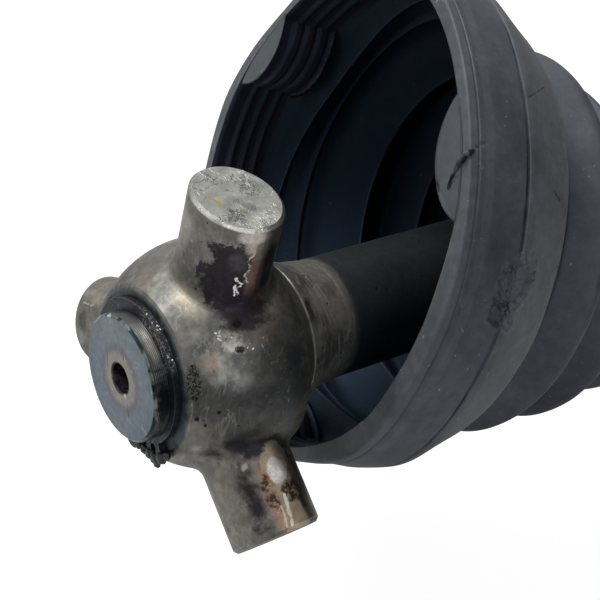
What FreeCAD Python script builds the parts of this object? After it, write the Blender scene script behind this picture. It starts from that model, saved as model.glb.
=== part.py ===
import FreeCAD, Part
import math
import os

import Sketcher
from FreeCAD import Placement, Rotation, Vector

# A tripod constant-velocity joint, seen from its shaft side: the bar, the three-armed spider that
# its circlip holds on the splines, and the rubber boot that is clamped to the bar by its neck.
# Millimetres. +X runs along the bar towards its free end, +Z along the first trunnion, and the
# origin is where the trunnion axes cross the bar's axis.

doc = FreeCAD.newDocument("TripodJoint")
sheet = doc.addObject("Spreadsheet::Sheet", "Sizes")

SIZES = [
    # The bar
    ("end_face_x", 18.3),
    ("pilot_radius", 12.5),
    ("end_chamfer", 0.55),
    ("bar_radius", 12.5),
    ("shoulder_radius", 14.8),
    ("shoulder_chamfer", 0.7),
    ("flare_length", 11.0),
    ("bar_end_x", -232.0),
    ("centre_hole_radius", 3.0),
    ("centre_hole_depth", 9.0),
    ("centre_mouth_radius", 3.2),
    # The splines at both ends of the bar
    ("spline_tip_radius", 13.6),
    ("spline_root_radius", 12.75),
    ("spline_teeth", 26),
    ("spline_space_width", 1.7),
    ("spline_flank_spread", 0.35),
    ("spline_clearance", 0.06),
    ("spline_lead", 0.9),
    ("outer_spline_length", 38.0),
    # The spider
    ("hub_front_x", 13.8),
    ("hub_back_x", -15.6),
    ("hub_ball_radius", 22.8),
    ("hub_ball_x", -1.9),
    ("hub_edge_chamfer", 0.7),
    ("hub_taper_radius", 15.2),
    ("hub_taper_slope", 1.07),
    ("trunnion_tip", 37.9),
    ("trunnion_half_axial", 8.25),
    ("trunnion_half_across", 9.85),
    ("trunnion_tip_chamfer", 0.7),
    ("trunnion_root_round", 3.0),
    # The circlip that keeps the spider on the bar
    ("clip_thickness", 1.2),
    ("clip_groove_play", 0.1),
    ("clip_groove_radius", 11.9),
    ("clip_outer_radius", 14.25),
    ("clip_offset", 0.65),
    ("clip_lug_radius", 2.35),
    ("clip_lug_ring", 14.3),
    ("clip_lug_hole", 1.0),
    ("clip_play", 0.05),
    ("clip_gap", 3.2),
    ("clip_turn", 297.0),
    # The wire ring at the bar's other end
    ("ring_wire_radius", 1.0),
    ("ring_from_end", 6.0),
    ("ring_proud", 0.35),
    ("ring_gap", 4.0),
    # The boot's axis: straight in the neck, bent at the pivot, straight in the mouth
    ("pivot_x", -92.0),
    ("mouth_reach", 61.5),
    ("bend_angle", 21.15),
    ("bend_direction", 140.3),
    ("bend_tangent", 12.4),
    # The mouth of the boot
    ("lip_radius", 53.8),
    ("mouth_radius", 50.0),
    ("lip_round", 0.8),
    ("seat_width", 13.2),
    ("seat_line_depth", 0.7),
    ("shoulder_reach", 28.0),
    ("shoulder_top_radius", 47.3),
    ("collar_depth", 35.8),
    ("collar_valley_radius", 38.0),
    ("boot_wall", 2.2),
    # The three pads inside the mouth
    ("pad_radius", 13.4),
    ("pad_inner_ring", 43.6),
    ("pad_depth", 13.0),
    ("pad_face", 2.6),
    ("pad_rib_height", 0.7),
    ("pad_rib_pitch", 3.2),
    ("pad_turn", 46.8),
    ("pad_gap", 0.05),
    # The bellows
    ("front_peak_radius", 42.8),
    ("front_peak_depth", 43.4),
    ("peak_taper", 0.356),
    ("fold_depth", 6.5),
    ("crest_width", 2.0),
    ("fold_pitch", 12.4),
    # The neck of the boot and its band clamp
    ("neck_front_x", -131.0),
    ("neck_length", 21.0),
    ("neck_wall", 3.4),
    ("neck_play", 0.05),
    ("neck_rim", 1.2),
    ("neck_rim_width", 3.5),
    ("clamp_width", 9.0),
    ("clamp_band", 0.9),
    ("clamp_play", 0.05),
    ("clamp_ear_radius", 4.2),
    ("clamp_ear_turn", 60.0),
]

for row, (alias, number) in enumerate(SIZES, start=1):
    sheet.set("A%d" % row, alias)
    sheet.set("B%d" % row, str(number))
    sheet.setAlias("B%d" % row, alias)
doc.recompute()


def size(alias):
    """The number that the sheet holds under this alias."""
    return float(sheet.get(alias))


def value(expression):
    """A number from an expression in the sheet's aliases."""
    result = sheet.evalExpression(expression)
    return float(getattr(result, "Value", result))


def bind(item, prop, expression):
    """Tie a property of an object to the sheet; expressions name the aliases bare."""
    item.setExpression(prop, in_sheet(expression))


ALIASES = sorted((alias for alias, number in SIZES), key=len, reverse=True)


def in_sheet(expression):
    """The expression with each alias written as a reference to the sheet."""
    words = []
    word = ""
    for letter in expression + " ":
        if letter.isalnum() or letter == "_":
            word += letter
            continue
        words.append("Sizes." + word if word in ALIASES else word)
        words.append(letter)
        word = ""
    return "".join(words).strip()


def origin_plane(body, role):
    return next(item for item in body.Origin.OriginFeatures if item.Role == role)


def polygon_sketch(body, name, plane, corners, offset=None):
    """A closed outline whose corners are pairs of expressions, each one held to the sheet."""
    sketch = body.newObject("Sketcher::SketchObject", name)
    sketch.AttachmentSupport = [(origin_plane(body, plane), "")]
    sketch.MapMode = "FlatFace"
    if offset:
        bind(sketch, "AttachmentOffset.Base.z", offset)
    points = [Vector(value(across), value(up), 0) for across, up in corners]
    count = len(points)
    for index in range(count):
        sketch.addGeometry(Part.LineSegment(points[index], points[(index + 1) % count]))
    for index in range(count):
        sketch.addConstraint(Sketcher.Constraint("Coincident", index, 2, (index + 1) % count, 1))
    for index, (across, up) in enumerate(corners):
        for kind, expression in (("DistanceX", across), ("DistanceY", up)):
            number = sketch.addConstraint(
                Sketcher.Constraint(kind, -1, 1, index, 1, value(expression)))
            bind(sketch, "Constraints[%d]" % number, expression)
    return sketch


def revolve(body, name, sketch, kind="PartDesign::Revolution"):
    """Turn a sketch in the XY plane once round the body's own X axis."""
    feature = body.newObject(kind, name)
    feature.Profile = sketch
    feature.ReferenceAxis = (sketch, ["H_Axis"])
    feature.Angle = 360
    doc.recompute()
    return feature


def along_x(radius, x_from, length, name):
    """A cylinder along X, tied to the sheet."""
    item = doc.addObject("Part::Cylinder", name)
    bind(item, "Radius", radius)
    bind(item, "Height", length)
    item.Placement = Placement(Vector(), Rotation(Vector(0, 1, 0), 90))
    bind(item, "Placement.Base.x", x_from)
    return item


def cut(name, base, tool):
    item = doc.addObject("Part::Cut", name)
    item.Base = base
    item.Tool = tool
    return item


def fuse(name, pieces):
    item = doc.addObject("Part::MultiFuse", name)
    item.Shapes = pieces
    return item


def round_direction(degrees):
    """The unit vector square to the bar at this angle from +Y towards +Z."""
    angle = math.radians(degrees)
    return Vector(0, math.cos(angle), math.sin(angle))


# ---------------------------------------------------------------- the bar

def spline_spaces(body, name, x_from, length):
    """Cut one tooth space along X and repeat it round the bar."""
    half_root = "spline_space_width / 2"
    half_top = "spline_space_width / 2 + spline_flank_spread"
    space = polygon_sketch(body, name + "Space", "YZ_Plane", [
        ("0 - " + half_root, "spline_root_radius"),
        (half_root, "spline_root_radius"),
        (half_top, "spline_tip_radius + 1"),
        ("0 - (" + half_top + ")", "spline_tip_radius + 1"),
    ], offset=x_from)
    pocket = body.newObject("PartDesign::Pocket", name + "Pocket")
    pocket.Profile = space
    bind(pocket, "Length", length)
    doc.recompute()
    pattern = body.newObject("PartDesign::PolarPattern", name + "Teeth")
    pattern.Originals = [pocket]
    pattern.Axis = (space, ["N_Axis"])
    pattern.Angle = 360
    bind(pattern, "Occurrences", "spline_teeth")
    body.Tip = pattern
    doc.recompute()
    return pattern


def make_bar():
    """The bar: pilot and clip groove, inner splines, shoulder, flare, boot groove, outer splines."""
    body = doc.addObject("PartDesign::Body", "drive_shaft")
    groove_back = "hub_front_x + clip_groove_play / 2"
    groove_front = "hub_front_x + clip_thickness + clip_groove_play * 1.5"
    ring_x = "bar_end_x + ring_from_end"
    ring_floor = "spline_tip_radius + ring_proud - ring_wire_radius * 2"
    outer_start = "bar_end_x + outer_spline_length"
    outline = polygon_sketch(body, "BarOutline", "XY_Plane", [
        ("end_face_x", "0"),
        ("end_face_x", "pilot_radius - end_chamfer"),
        ("end_face_x - end_chamfer", "pilot_radius"),
        (groove_front, "pilot_radius"),
        (groove_front, "clip_groove_radius"),
        (groove_back, "clip_groove_radius"),
        (groove_back, "pilot_radius"),
        ("hub_front_x - spline_lead", "pilot_radius"),
        ("hub_front_x - spline_lead * 2", "spline_tip_radius"),
        ("hub_back_x", "spline_tip_radius"),
        ("hub_back_x", "shoulder_radius - shoulder_chamfer"),
        ("hub_back_x - shoulder_chamfer", "shoulder_radius"),
        ("hub_back_x - flare_length / 2", "bar_radius + (shoulder_radius - bar_radius) / 3"),
        ("hub_back_x - flare_length", "bar_radius"),
        (outer_start, "bar_radius"),
        (outer_start + " - spline_lead", "spline_tip_radius"),
        (ring_x + " + ring_wire_radius", "spline_tip_radius"),
        (ring_x + " + ring_wire_radius", ring_floor),
        (ring_x + " - ring_wire_radius", ring_floor),
        (ring_x + " - ring_wire_radius", "spline_tip_radius"),
        ("bar_end_x + end_chamfer", "spline_tip_radius"),
        ("bar_end_x", "spline_tip_radius - end_chamfer"),
        ("bar_end_x", "0"),
    ])
    revolve(body, "BarTurned", outline)
    for name, face_x, inward in (("InnerCentre", "end_face_x", "-"), ("OuterCentre", "bar_end_x", "+")):
        mouth = polygon_sketch(body, name, "XY_Plane", [
            (face_x, "0"),
            (face_x, "centre_mouth_radius"),
            ("%s %s (centre_mouth_radius - centre_hole_radius)" % (face_x, inward), "centre_hole_radius"),
            ("%s %s centre_hole_depth" % (face_x, inward), "centre_hole_radius"),
            ("%s %s (centre_hole_depth + centre_hole_radius / 2)" % (face_x, inward), "0"),
        ])
        revolve(body, name + "Hole", mouth, "PartDesign::Groove")
    spline_spaces(body, "Inner", "hub_front_x", "hub_front_x - hub_back_x")
    spline_spaces(body, "Outer", outer_start, "outer_spline_length + 1")
    return body


# ---------------------------------------------------------------- the spider

def spline_prism(grow, x_from, length):
    """The splined bore as a solid: the bar's tooth outline, grown by the clearance."""
    teeth = int(size("spline_teeth"))
    root = size("spline_root_radius") + grow
    tip = size("spline_tip_radius") + grow
    half_space = size("spline_space_width") / 2 - grow
    spread = size("spline_flank_spread") * (tip - root) / (size("spline_tip_radius") + 1 - root)
    corners = []
    for tooth in range(teeth):
        middle = math.pi / 2 + 2 * math.pi * tooth / teeth
        next_middle = middle + 2 * math.pi / teeth
        corners += [
            (root, middle + half_space / root),
            (tip, middle + (half_space + spread) / tip),
            (tip, next_middle - (half_space + spread) / tip),
            (root, next_middle - half_space / root),
        ]
    points = [Vector(x_from, radius * math.cos(angle), radius * math.sin(angle))
              for radius, angle in corners]
    wire = Part.makePolygon(points + points[:1])
    return Part.Face(wire).extrude(Vector(length, 0, 0))


def edge_numbers(item, wanted):
    """The numbers of the edges of an object's shape for which wanted(edge) holds."""
    return [index for index, edge in enumerate(item.Shape.Edges, start=1) if wanted(edge)]


def dress_edges(kind, name, base, wanted, amount):
    """A Part fillet or chamfer on the edges that wanted picks, tied to one size."""
    doc.recompute()
    item = doc.addObject(kind, name)
    item.Base = base
    item.Edges = [(number, size(amount), size(amount)) for number in edge_numbers(base, wanted)]
    doc.recompute()
    return item


def make_spider():
    """The spider: a ball-sided hub tapered at its back, three oval trunnions, a splined bore."""
    ball = doc.addObject("Part::Sphere", "HubBall")
    bind(ball, "Radius", "hub_ball_radius")
    bind(ball, "Placement.Base.x", "hub_ball_x")
    slab = along_x("hub_ball_radius * 1.2", "hub_back_x", "hub_front_x - hub_back_x", "HubSlab")
    hub = doc.addObject("Part::Common", "Hub")
    hub.Base = ball
    hub.Tool = slab
    trunnions = []
    for number, turn in enumerate((0, 120, 240), start=1):
        oval = doc.addObject("Part::Ellipse", "Oval%d" % number)
        bind(oval, "MajorRadius", "trunnion_half_across")
        bind(oval, "MinorRadius", "trunnion_half_axial")
        stand = Rotation(Vector(1, 0, 0), turn)
        oval.Placement = Placement(Vector(), stand.multiply(Rotation(Vector(0, 0, 1), 90)))
        stalk = doc.addObject("Part::Extrusion", "Trunnion%d" % number)
        stalk.Base = oval
        stalk.DirMode = "Custom"
        stalk.Dir = stand.multVec(Vector(0, 0, 1))
        bind(stalk, "LengthFwd", "trunnion_tip")
        stalk.Solid = True
        trunnions.append(stalk)
    rough = fuse("RoughSpider", [hub] + trunnions)

    def at_root(edge):
        middle = edge.valueAt((edge.FirstParameter + edge.LastParameter) / 2)
        reach = middle.sub(Vector(size("hub_ball_x"), 0, 0)).Length
        flat = abs(middle.x - size("hub_front_x")) < 0.01 or abs(middle.x - size("hub_back_x")) < 0.01
        return abs(reach - size("hub_ball_radius")) < 0.01 and not flat

    def at_rim(edge):
        middle = edge.valueAt((edge.FirstParameter + edge.LastParameter) / 2)
        return abs(middle.x - size("hub_front_x")) < 0.01

    def at_tip(edge):
        box = edge.BoundBox
        middle = edge.valueAt((edge.FirstParameter + edge.LastParameter) / 2)
        across = math.hypot(middle.y, middle.z)
        return across > size("trunnion_tip") - 0.01 and max(box.XLength, box.YLength) > 1

    rooted = dress_edges("Part::Fillet", "RootRounds", rough, at_root, "trunnion_root_round")
    taper = doc.addObject("Part::Cone", "HubTaper")
    bind(taper, "Radius1", "hub_taper_radius - hub_taper_slope * 2")
    bind(taper, "Radius2", "hub_taper_radius + hub_taper_slope * (hub_front_x - hub_back_x)")
    bind(taper, "Height", "hub_front_x - hub_back_x + 2")
    taper.Placement = Placement(Vector(), Rotation(Vector(0, 1, 0), 90))
    bind(taper, "Placement.Base.x", "hub_back_x - 2")
    barrel = along_x("hub_ball_radius * 1.2", "hub_back_x - 1", "1 - hub_back_x - trunnion_half_axial",
                     "TaperBarrel")
    tapered = cut("TaperedSpider", rooted, cut("TaperWaste", barrel, taper))
    rimmed = dress_edges("Part::Chamfer", "HubEdges", tapered, at_rim, "hub_edge_chamfer")
    tipped = dress_edges("Part::Chamfer", "TipChamfers", rimmed, at_tip, "trunnion_tip_chamfer")
    bore = doc.addObject("Part::Feature", "SplinedBore")
    bore.Shape = spline_prism(size("spline_clearance"), size("hub_back_x") - 1,
                              size("hub_front_x") - size("hub_back_x") + 2)
    return cut("tripod_spider", tipped, bore)


# ---------------------------------------------------------------- rings on the bar

def make_clip():
    """The spider's circlip: a ring that is widest opposite its gap, with two eyed lugs."""
    start = "hub_front_x + clip_groove_play"
    turn = size("clip_turn")
    away = round_direction(turn + 180)
    outer = along_x("clip_outer_radius", start, "clip_thickness", "ClipOuter")
    outer.Placement.Base = outer.Placement.Base.add(away.multiply(size("clip_offset")))
    lug_angle = math.degrees((size("clip_gap") / 2 + size("clip_lug_radius")) / size("clip_lug_ring"))
    solids = [outer]
    holes = []
    for number, side in enumerate((-1, 1), start=1):
        seat = round_direction(turn + side * lug_angle).multiply(size("clip_lug_ring"))
        for radius, kept, label in (("clip_lug_radius", solids, "Lug"), ("clip_lug_hole", holes, "LugHole")):
            item = along_x(radius, start, "clip_thickness", "Clip%s%d" % (label, number))
            item.Placement.Base = item.Placement.Base.add(seat)
            kept.append(item)
    inner = along_x("clip_groove_radius + clip_play", start, "clip_thickness", "ClipInner")
    gap = doc.addObject("Part::Box", "ClipGap")
    bind(gap, "Length", "clip_thickness")
    bind(gap, "Width", "clip_gap")
    bind(gap, "Height", "clip_outer_radius * 2")
    tilt = Rotation(Vector(1, 0, 0), turn - 90)
    gap.Placement = Placement(
        Vector(value("hub_front_x + clip_groove_play"), 0, 0).add(
            tilt.multVec(Vector(0, -size("clip_gap") / 2, 0))), tilt)
    blank = fuse("ClipBlank", solids)
    openings = fuse("ClipOpenings", [inner, gap] + holes)
    return cut("spider_circlip", blank, openings)


def make_wire_ring():
    """The wire ring that snaps the bar's other end into the outer joint, six-sided in section."""
    body = doc.addObject("PartDesign::Body", "outer_snap_ring")
    corners = []
    for corner in range(6):
        turn = math.radians(60 * corner)
        corners.append((
            "bar_end_x + ring_from_end + ring_wire_radius * %.6f" % (0.96 * math.cos(turn)),
            "spline_tip_radius + ring_proud + ring_wire_radius * (%.6f - 1)" % (0.96 * math.sin(turn)),
        ))
    revolve(body, "RingTurned", polygon_sketch(body, "RingOutline", "XY_Plane", corners))
    gap = polygon_sketch(body, "RingGapOutline", "YZ_Plane", [
        ("0 - ring_gap / 2", "0"),
        ("ring_gap / 2", "0"),
        ("ring_gap / 2", "spline_tip_radius * 2"),
        ("0 - ring_gap / 2", "spline_tip_radius * 2"),
    ], offset="bar_end_x + ring_from_end + ring_wire_radius * 2")
    pocket = body.newObject("PartDesign::Pocket", "RingGap")
    pocket.Profile = gap
    bind(pocket, "Length", "ring_wire_radius * 4")
    doc.recompute()
    return body


# ---------------------------------------------------------------- the boot's bent axis

def mouth_rotation():
    """Turns +X to the mouth's axis, which leans in the bend direction."""
    lean = round_direction(size("bend_direction"))
    return Rotation(Vector(1, 0, 0).cross(lean), size("bend_angle"))


def mouth_placement():
    """The frame of the mouth: origin in the lip's face, +X out of the boot."""
    turned = mouth_rotation()
    pivot = Vector(size("pivot_x"), 0, 0)
    return Placement(pivot.add(turned.multVec(Vector(size("mouth_reach"), 0, 0))), turned)


def bend_station(share):
    """Centre and direction on the bent stretch, from its mouth end (0) to its neck end (1)."""
    half = math.radians(size("bend_angle")) / 2
    radius = size("bend_tangent") / math.tan(half)
    lean = round_direction(size("bend_direction"))
    angle = (1 - share) * 2 * half
    start = Vector(size("pivot_x") - size("bend_tangent"), 0, 0)
    along = Vector(1, 0, 0).multiply(radius * math.sin(angle))
    aside = Vector(lean).multiply(radius * (1 - math.cos(angle)))
    direction = Vector(math.cos(angle), 0, 0).add(Vector(lean).multiply(math.sin(angle)))
    return start.add(along).add(aside), direction


def bend_length():
    half = math.radians(size("bend_angle")) / 2
    return 2 * half * size("bend_tangent") / math.tan(half)


def peak_radius(depth):
    """The bellows' outer radius on a crest this far behind the lip."""
    return size("front_peak_radius") - size("peak_taper") * (depth - size("front_peak_depth"))


def valley_radius(depth):
    return peak_radius(depth) - size("fold_depth")


# ---------------------------------------------------------------- the mouth

def make_collar():
    """The mouth: lip, clamp seat, shoulder and the first fold, turned round the mouth's axis."""
    body = doc.addObject("PartDesign::Body", "boot_collar")
    body.Placement = mouth_placement()
    outline = polygon_sketch(body, "CollarOutline", "XY_Plane", [
        ("0", "mouth_radius"),
        ("0", "lip_radius - lip_round"),
        ("0 - lip_round", "lip_radius"),
        ("0 - seat_width", "lip_radius"),
        ("0 - seat_width - lip_round / 2", "lip_radius - seat_line_depth"),
        ("0 - seat_width - lip_round * 2", "lip_radius - seat_line_depth / 3"),
        ("0 - shoulder_reach + lip_round * 2", "shoulder_top_radius + lip_round"),
        ("0 - shoulder_reach", "shoulder_top_radius"),
        ("0 - shoulder_reach - lip_round", "shoulder_top_radius - lip_round * 2"),
        ("0 - collar_depth", "collar_valley_radius"),
        ("0 - collar_depth", "collar_valley_radius - boot_wall"),
        ("0 - shoulder_reach + lip_round", "shoulder_top_radius - boot_wall * 1.5"),
        ("0 - seat_width - boot_wall", "mouth_radius - boot_wall / 3"),
        ("0 - seat_width", "mouth_radius"),
    ])
    revolve(body, "CollarTurned", outline)
    return body


def make_pads():
    """Three lens-shaped pads that fill the housing's hollows, each with sealing ribs."""
    body = doc.addObject("PartDesign::Body", "PadBlank")
    ribs = 3
    corners = [("0", "0"), ("0", "pad_radius"), ("0 - pad_face", "pad_radius")]
    for rib in range(ribs):
        foot = "0 - pad_face - pad_rib_pitch * %d" % rib
        corners += [
            (foot + " - pad_rib_height", "pad_radius - pad_rib_height"),
            (foot + " - pad_rib_pitch + pad_rib_height", "pad_radius - pad_rib_height"),
            (foot + " - pad_rib_pitch", "pad_radius"),
        ]
    corners += [("0 - pad_depth", "pad_radius - pad_rib_height"), ("0 - pad_depth", "0")]
    revolve(body, "PadTurned", polygon_sketch(body, "PadOutline", "XY_Plane", corners))
    barrel = along_x("mouth_radius - pad_gap", "0 - pad_depth", "pad_depth", "MouthBarrel")
    doc.recompute()
    whole = Part.makeCompound([])
    for lobe in range(3):
        seat = round_direction(size("pad_turn") + 120 * lobe)
        blank = body.Shape.copy()
        blank.translate(seat.multiply(size("pad_inner_ring") + size("pad_radius")))
        whole.add(blank.common(barrel.Shape))
    item = doc.addObject("Part::Feature", "trilobe_pads")
    item.Shape = whole
    item.Placement = mouth_placement()
    return item


# ---------------------------------------------------------------- the bellows

def fold_outline(depth_from, depth_to, first_crest, pitch):
    """Depth and radius along the outside of a stretch of folds, crests and valleys in turn."""
    half_crest = size("crest_width") / 2
    points = [(depth_from, valley_radius(depth_from))]
    crest = first_crest
    while crest < depth_to:
        points += [(crest - half_crest, peak_radius(crest)), (crest + half_crest, peak_radius(crest))]
        valley = min(crest + pitch / 2, depth_to)
        points.append((valley, valley_radius(valley)))
        crest += pitch
    return points


def turned_shell(name, outline, zero, placement):
    """A straight stretch of folds as a turned body; depths run towards the neck."""
    wall = size("boot_wall")
    body = doc.addObject("PartDesign::Body", name)
    body.Placement = placement
    outer = [(zero - depth, radius) for depth, radius in outline]
    inner = [(along, radius - wall) for along, radius in reversed(outer)]
    corners = [("%.6f" % along, "%.6f" % radius) for along, radius in outer + inner]
    corners = [(across.replace("-", "0 - "), up) for across, up in corners]
    revolve(body, name + "Turned", polygon_sketch(body, name + "Outline", "XY_Plane", corners))
    return body


def bent_shell(name, outline, depth_from):
    """The bent stretch of folds, lofted through circles square to the boot's axis."""
    length = bend_length()
    solids = []
    for inset in (0, size("boot_wall")):
        rings = []
        for depth, radius in outline:
            centre, direction = bend_station((depth - depth_from) / length)
            rings.append(Part.Wire(Part.makeCircle(radius - inset, centre, direction)))
        solids.append(Part.makeLoft(rings, True, True))
    item = doc.addObject("Part::Feature", name)
    item.Shape = solids[0].cut(solids[1])
    return item


def make_bellows():
    """Front folds on the mouth's axis, middle folds round the bend, rear folds on the bar's axis."""
    pitch = size("fold_pitch")
    bend_from = size("mouth_reach") - size("bend_tangent")
    bend_to = bend_from + bend_length()
    neck_from = bend_to + (size("pivot_x") - size("bend_tangent") - size("neck_front_x"))
    front = fold_outline(size("collar_depth"), bend_from, size("front_peak_depth"), pitch)
    front[0] = (size("collar_depth"), size("collar_valley_radius"))
    middle = fold_outline(bend_from, bend_to, bend_from + bend_length() / 4, bend_length() / 2)
    rear = fold_outline(bend_to, neck_from, bend_to + pitch / 2, pitch)
    rear[-1] = (neck_from, size("bar_radius") + size("neck_play") + size("neck_wall"))
    straight = Placement(Vector(size("pivot_x") - size("bend_tangent"), 0, 0), Rotation())
    return [
        turned_shell("bellows_front", front, 0, mouth_placement()),
        bent_shell("bellows_middle", middle, bend_from),
        turned_shell("bellows_rear", rear, bend_to, straight),
    ]


# ---------------------------------------------------------------- the neck and its clamp

def make_neck():
    """The neck that grips the bar, with a clamp seat between two rims."""
    body = doc.addObject("PartDesign::Body", "boot_neck")
    inner = "bar_radius + neck_play"
    seat = inner + " + neck_wall"
    rim = seat + " + neck_rim"
    front = "neck_front_x"
    back = "neck_front_x - neck_length"
    outline = polygon_sketch(body, "NeckOutline", "XY_Plane", [
        (front, inner),
        (front, seat),
        (front + " - neck_rim", rim),
        (front + " - neck_rim_width", rim),
        (front + " - neck_rim_width - neck_rim / 2", seat),
        (back + " + neck_rim_width + neck_rim / 2", seat),
        (back + " + neck_rim_width", rim),
        (back + " + neck_rim / 2", rim),
        (back, seat),
        (back, inner),
    ])
    revolve(body, "NeckTurned", outline)
    return body


def make_clamp():
    """The band clamp: a flat band with one pinched ear."""
    band_from = "neck_front_x - neck_length / 2 - clamp_width / 2"
    seat = "bar_radius + neck_play + neck_wall + clamp_play"
    band = along_x(seat + " + clamp_band", band_from, "clamp_width", "ClampBand")
    hole = along_x(seat, band_from, "clamp_width", "ClampHole")
    outward = round_direction(size("clamp_ear_turn")).multiply(value(seat + " + clamp_band"))
    ear = along_x("clamp_ear_radius", band_from + " + clamp_band", "clamp_width - clamp_band * 2", "ClampEar")
    ear.Placement.Base = ear.Placement.Base.add(outward)
    hollow = along_x("clamp_ear_radius - clamp_band", band_from, "clamp_width", "ClampEarHollow")
    hollow.Placement.Base = hollow.Placement.Base.add(outward)
    return cut("boot_clamp", fuse("ClampBlank", [band, ear]), fuse("ClampOpenings", [hole, hollow]))


# ---------------------------------------------------------------- build, check and write

nodes = [
    make_bar(),
    make_spider(),
    make_clip(),
    make_wire_ring(),
    make_collar(),
    make_pads(),
    make_neck(),
    make_clamp(),
] + make_bellows()

doc.recompute()
for item in doc.Objects:
    if "Invalid" in item.State or "Error" in item.State:
        raise RuntimeError("%s failed: %s" % (item.Label, item.State))

os.makedirs("parts", exist_ok=True)
for node in nodes:
    node.Label = node.Name
    if node.Shape.isNull() or not node.Shape.isValid():
        raise RuntimeError("%s has no valid shape" % node.Label)
for node in nodes:
    node.Shape.exportStep(os.path.join("parts", node.Label + ".step"))
    print(node.Label, round(node.Shape.Volume), len(node.Shape.Solids))
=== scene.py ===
"""The shaft side of an inner drive joint: the bar, its spider and clip, and the bellows boot."""

import logging
import math
import random
from dataclasses import dataclass, field
from enum import Enum
from typing import Any, Callable

import bpy
import numpy as np
from mathutils import Matrix, Vector, noise


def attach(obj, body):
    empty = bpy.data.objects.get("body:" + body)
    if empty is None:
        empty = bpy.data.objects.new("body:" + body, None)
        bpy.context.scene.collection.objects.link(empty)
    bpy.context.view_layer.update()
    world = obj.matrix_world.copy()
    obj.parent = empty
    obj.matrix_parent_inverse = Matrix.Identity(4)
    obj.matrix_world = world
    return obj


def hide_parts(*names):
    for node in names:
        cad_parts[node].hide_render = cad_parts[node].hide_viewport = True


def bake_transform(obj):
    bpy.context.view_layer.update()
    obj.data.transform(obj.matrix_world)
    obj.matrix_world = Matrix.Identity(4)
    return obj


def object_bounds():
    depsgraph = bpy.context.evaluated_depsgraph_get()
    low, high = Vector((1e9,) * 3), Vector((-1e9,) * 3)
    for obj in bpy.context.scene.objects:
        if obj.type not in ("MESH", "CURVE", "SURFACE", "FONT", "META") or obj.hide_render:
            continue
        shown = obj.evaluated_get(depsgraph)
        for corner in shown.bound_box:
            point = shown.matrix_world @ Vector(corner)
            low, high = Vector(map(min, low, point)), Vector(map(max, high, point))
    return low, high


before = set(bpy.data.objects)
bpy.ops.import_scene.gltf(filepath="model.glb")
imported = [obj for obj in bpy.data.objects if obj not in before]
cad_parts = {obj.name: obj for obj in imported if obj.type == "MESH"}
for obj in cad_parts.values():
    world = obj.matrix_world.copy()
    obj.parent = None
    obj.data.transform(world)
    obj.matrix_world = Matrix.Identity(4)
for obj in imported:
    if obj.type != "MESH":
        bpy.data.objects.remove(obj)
CAD_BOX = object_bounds()
LOG = logging.getLogger("drive_joint")
MM = 0.001
Point = tuple[float, float, float]
Colour = tuple[float, float, float]


# ------------------------------------------------------------------ node trees

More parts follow.
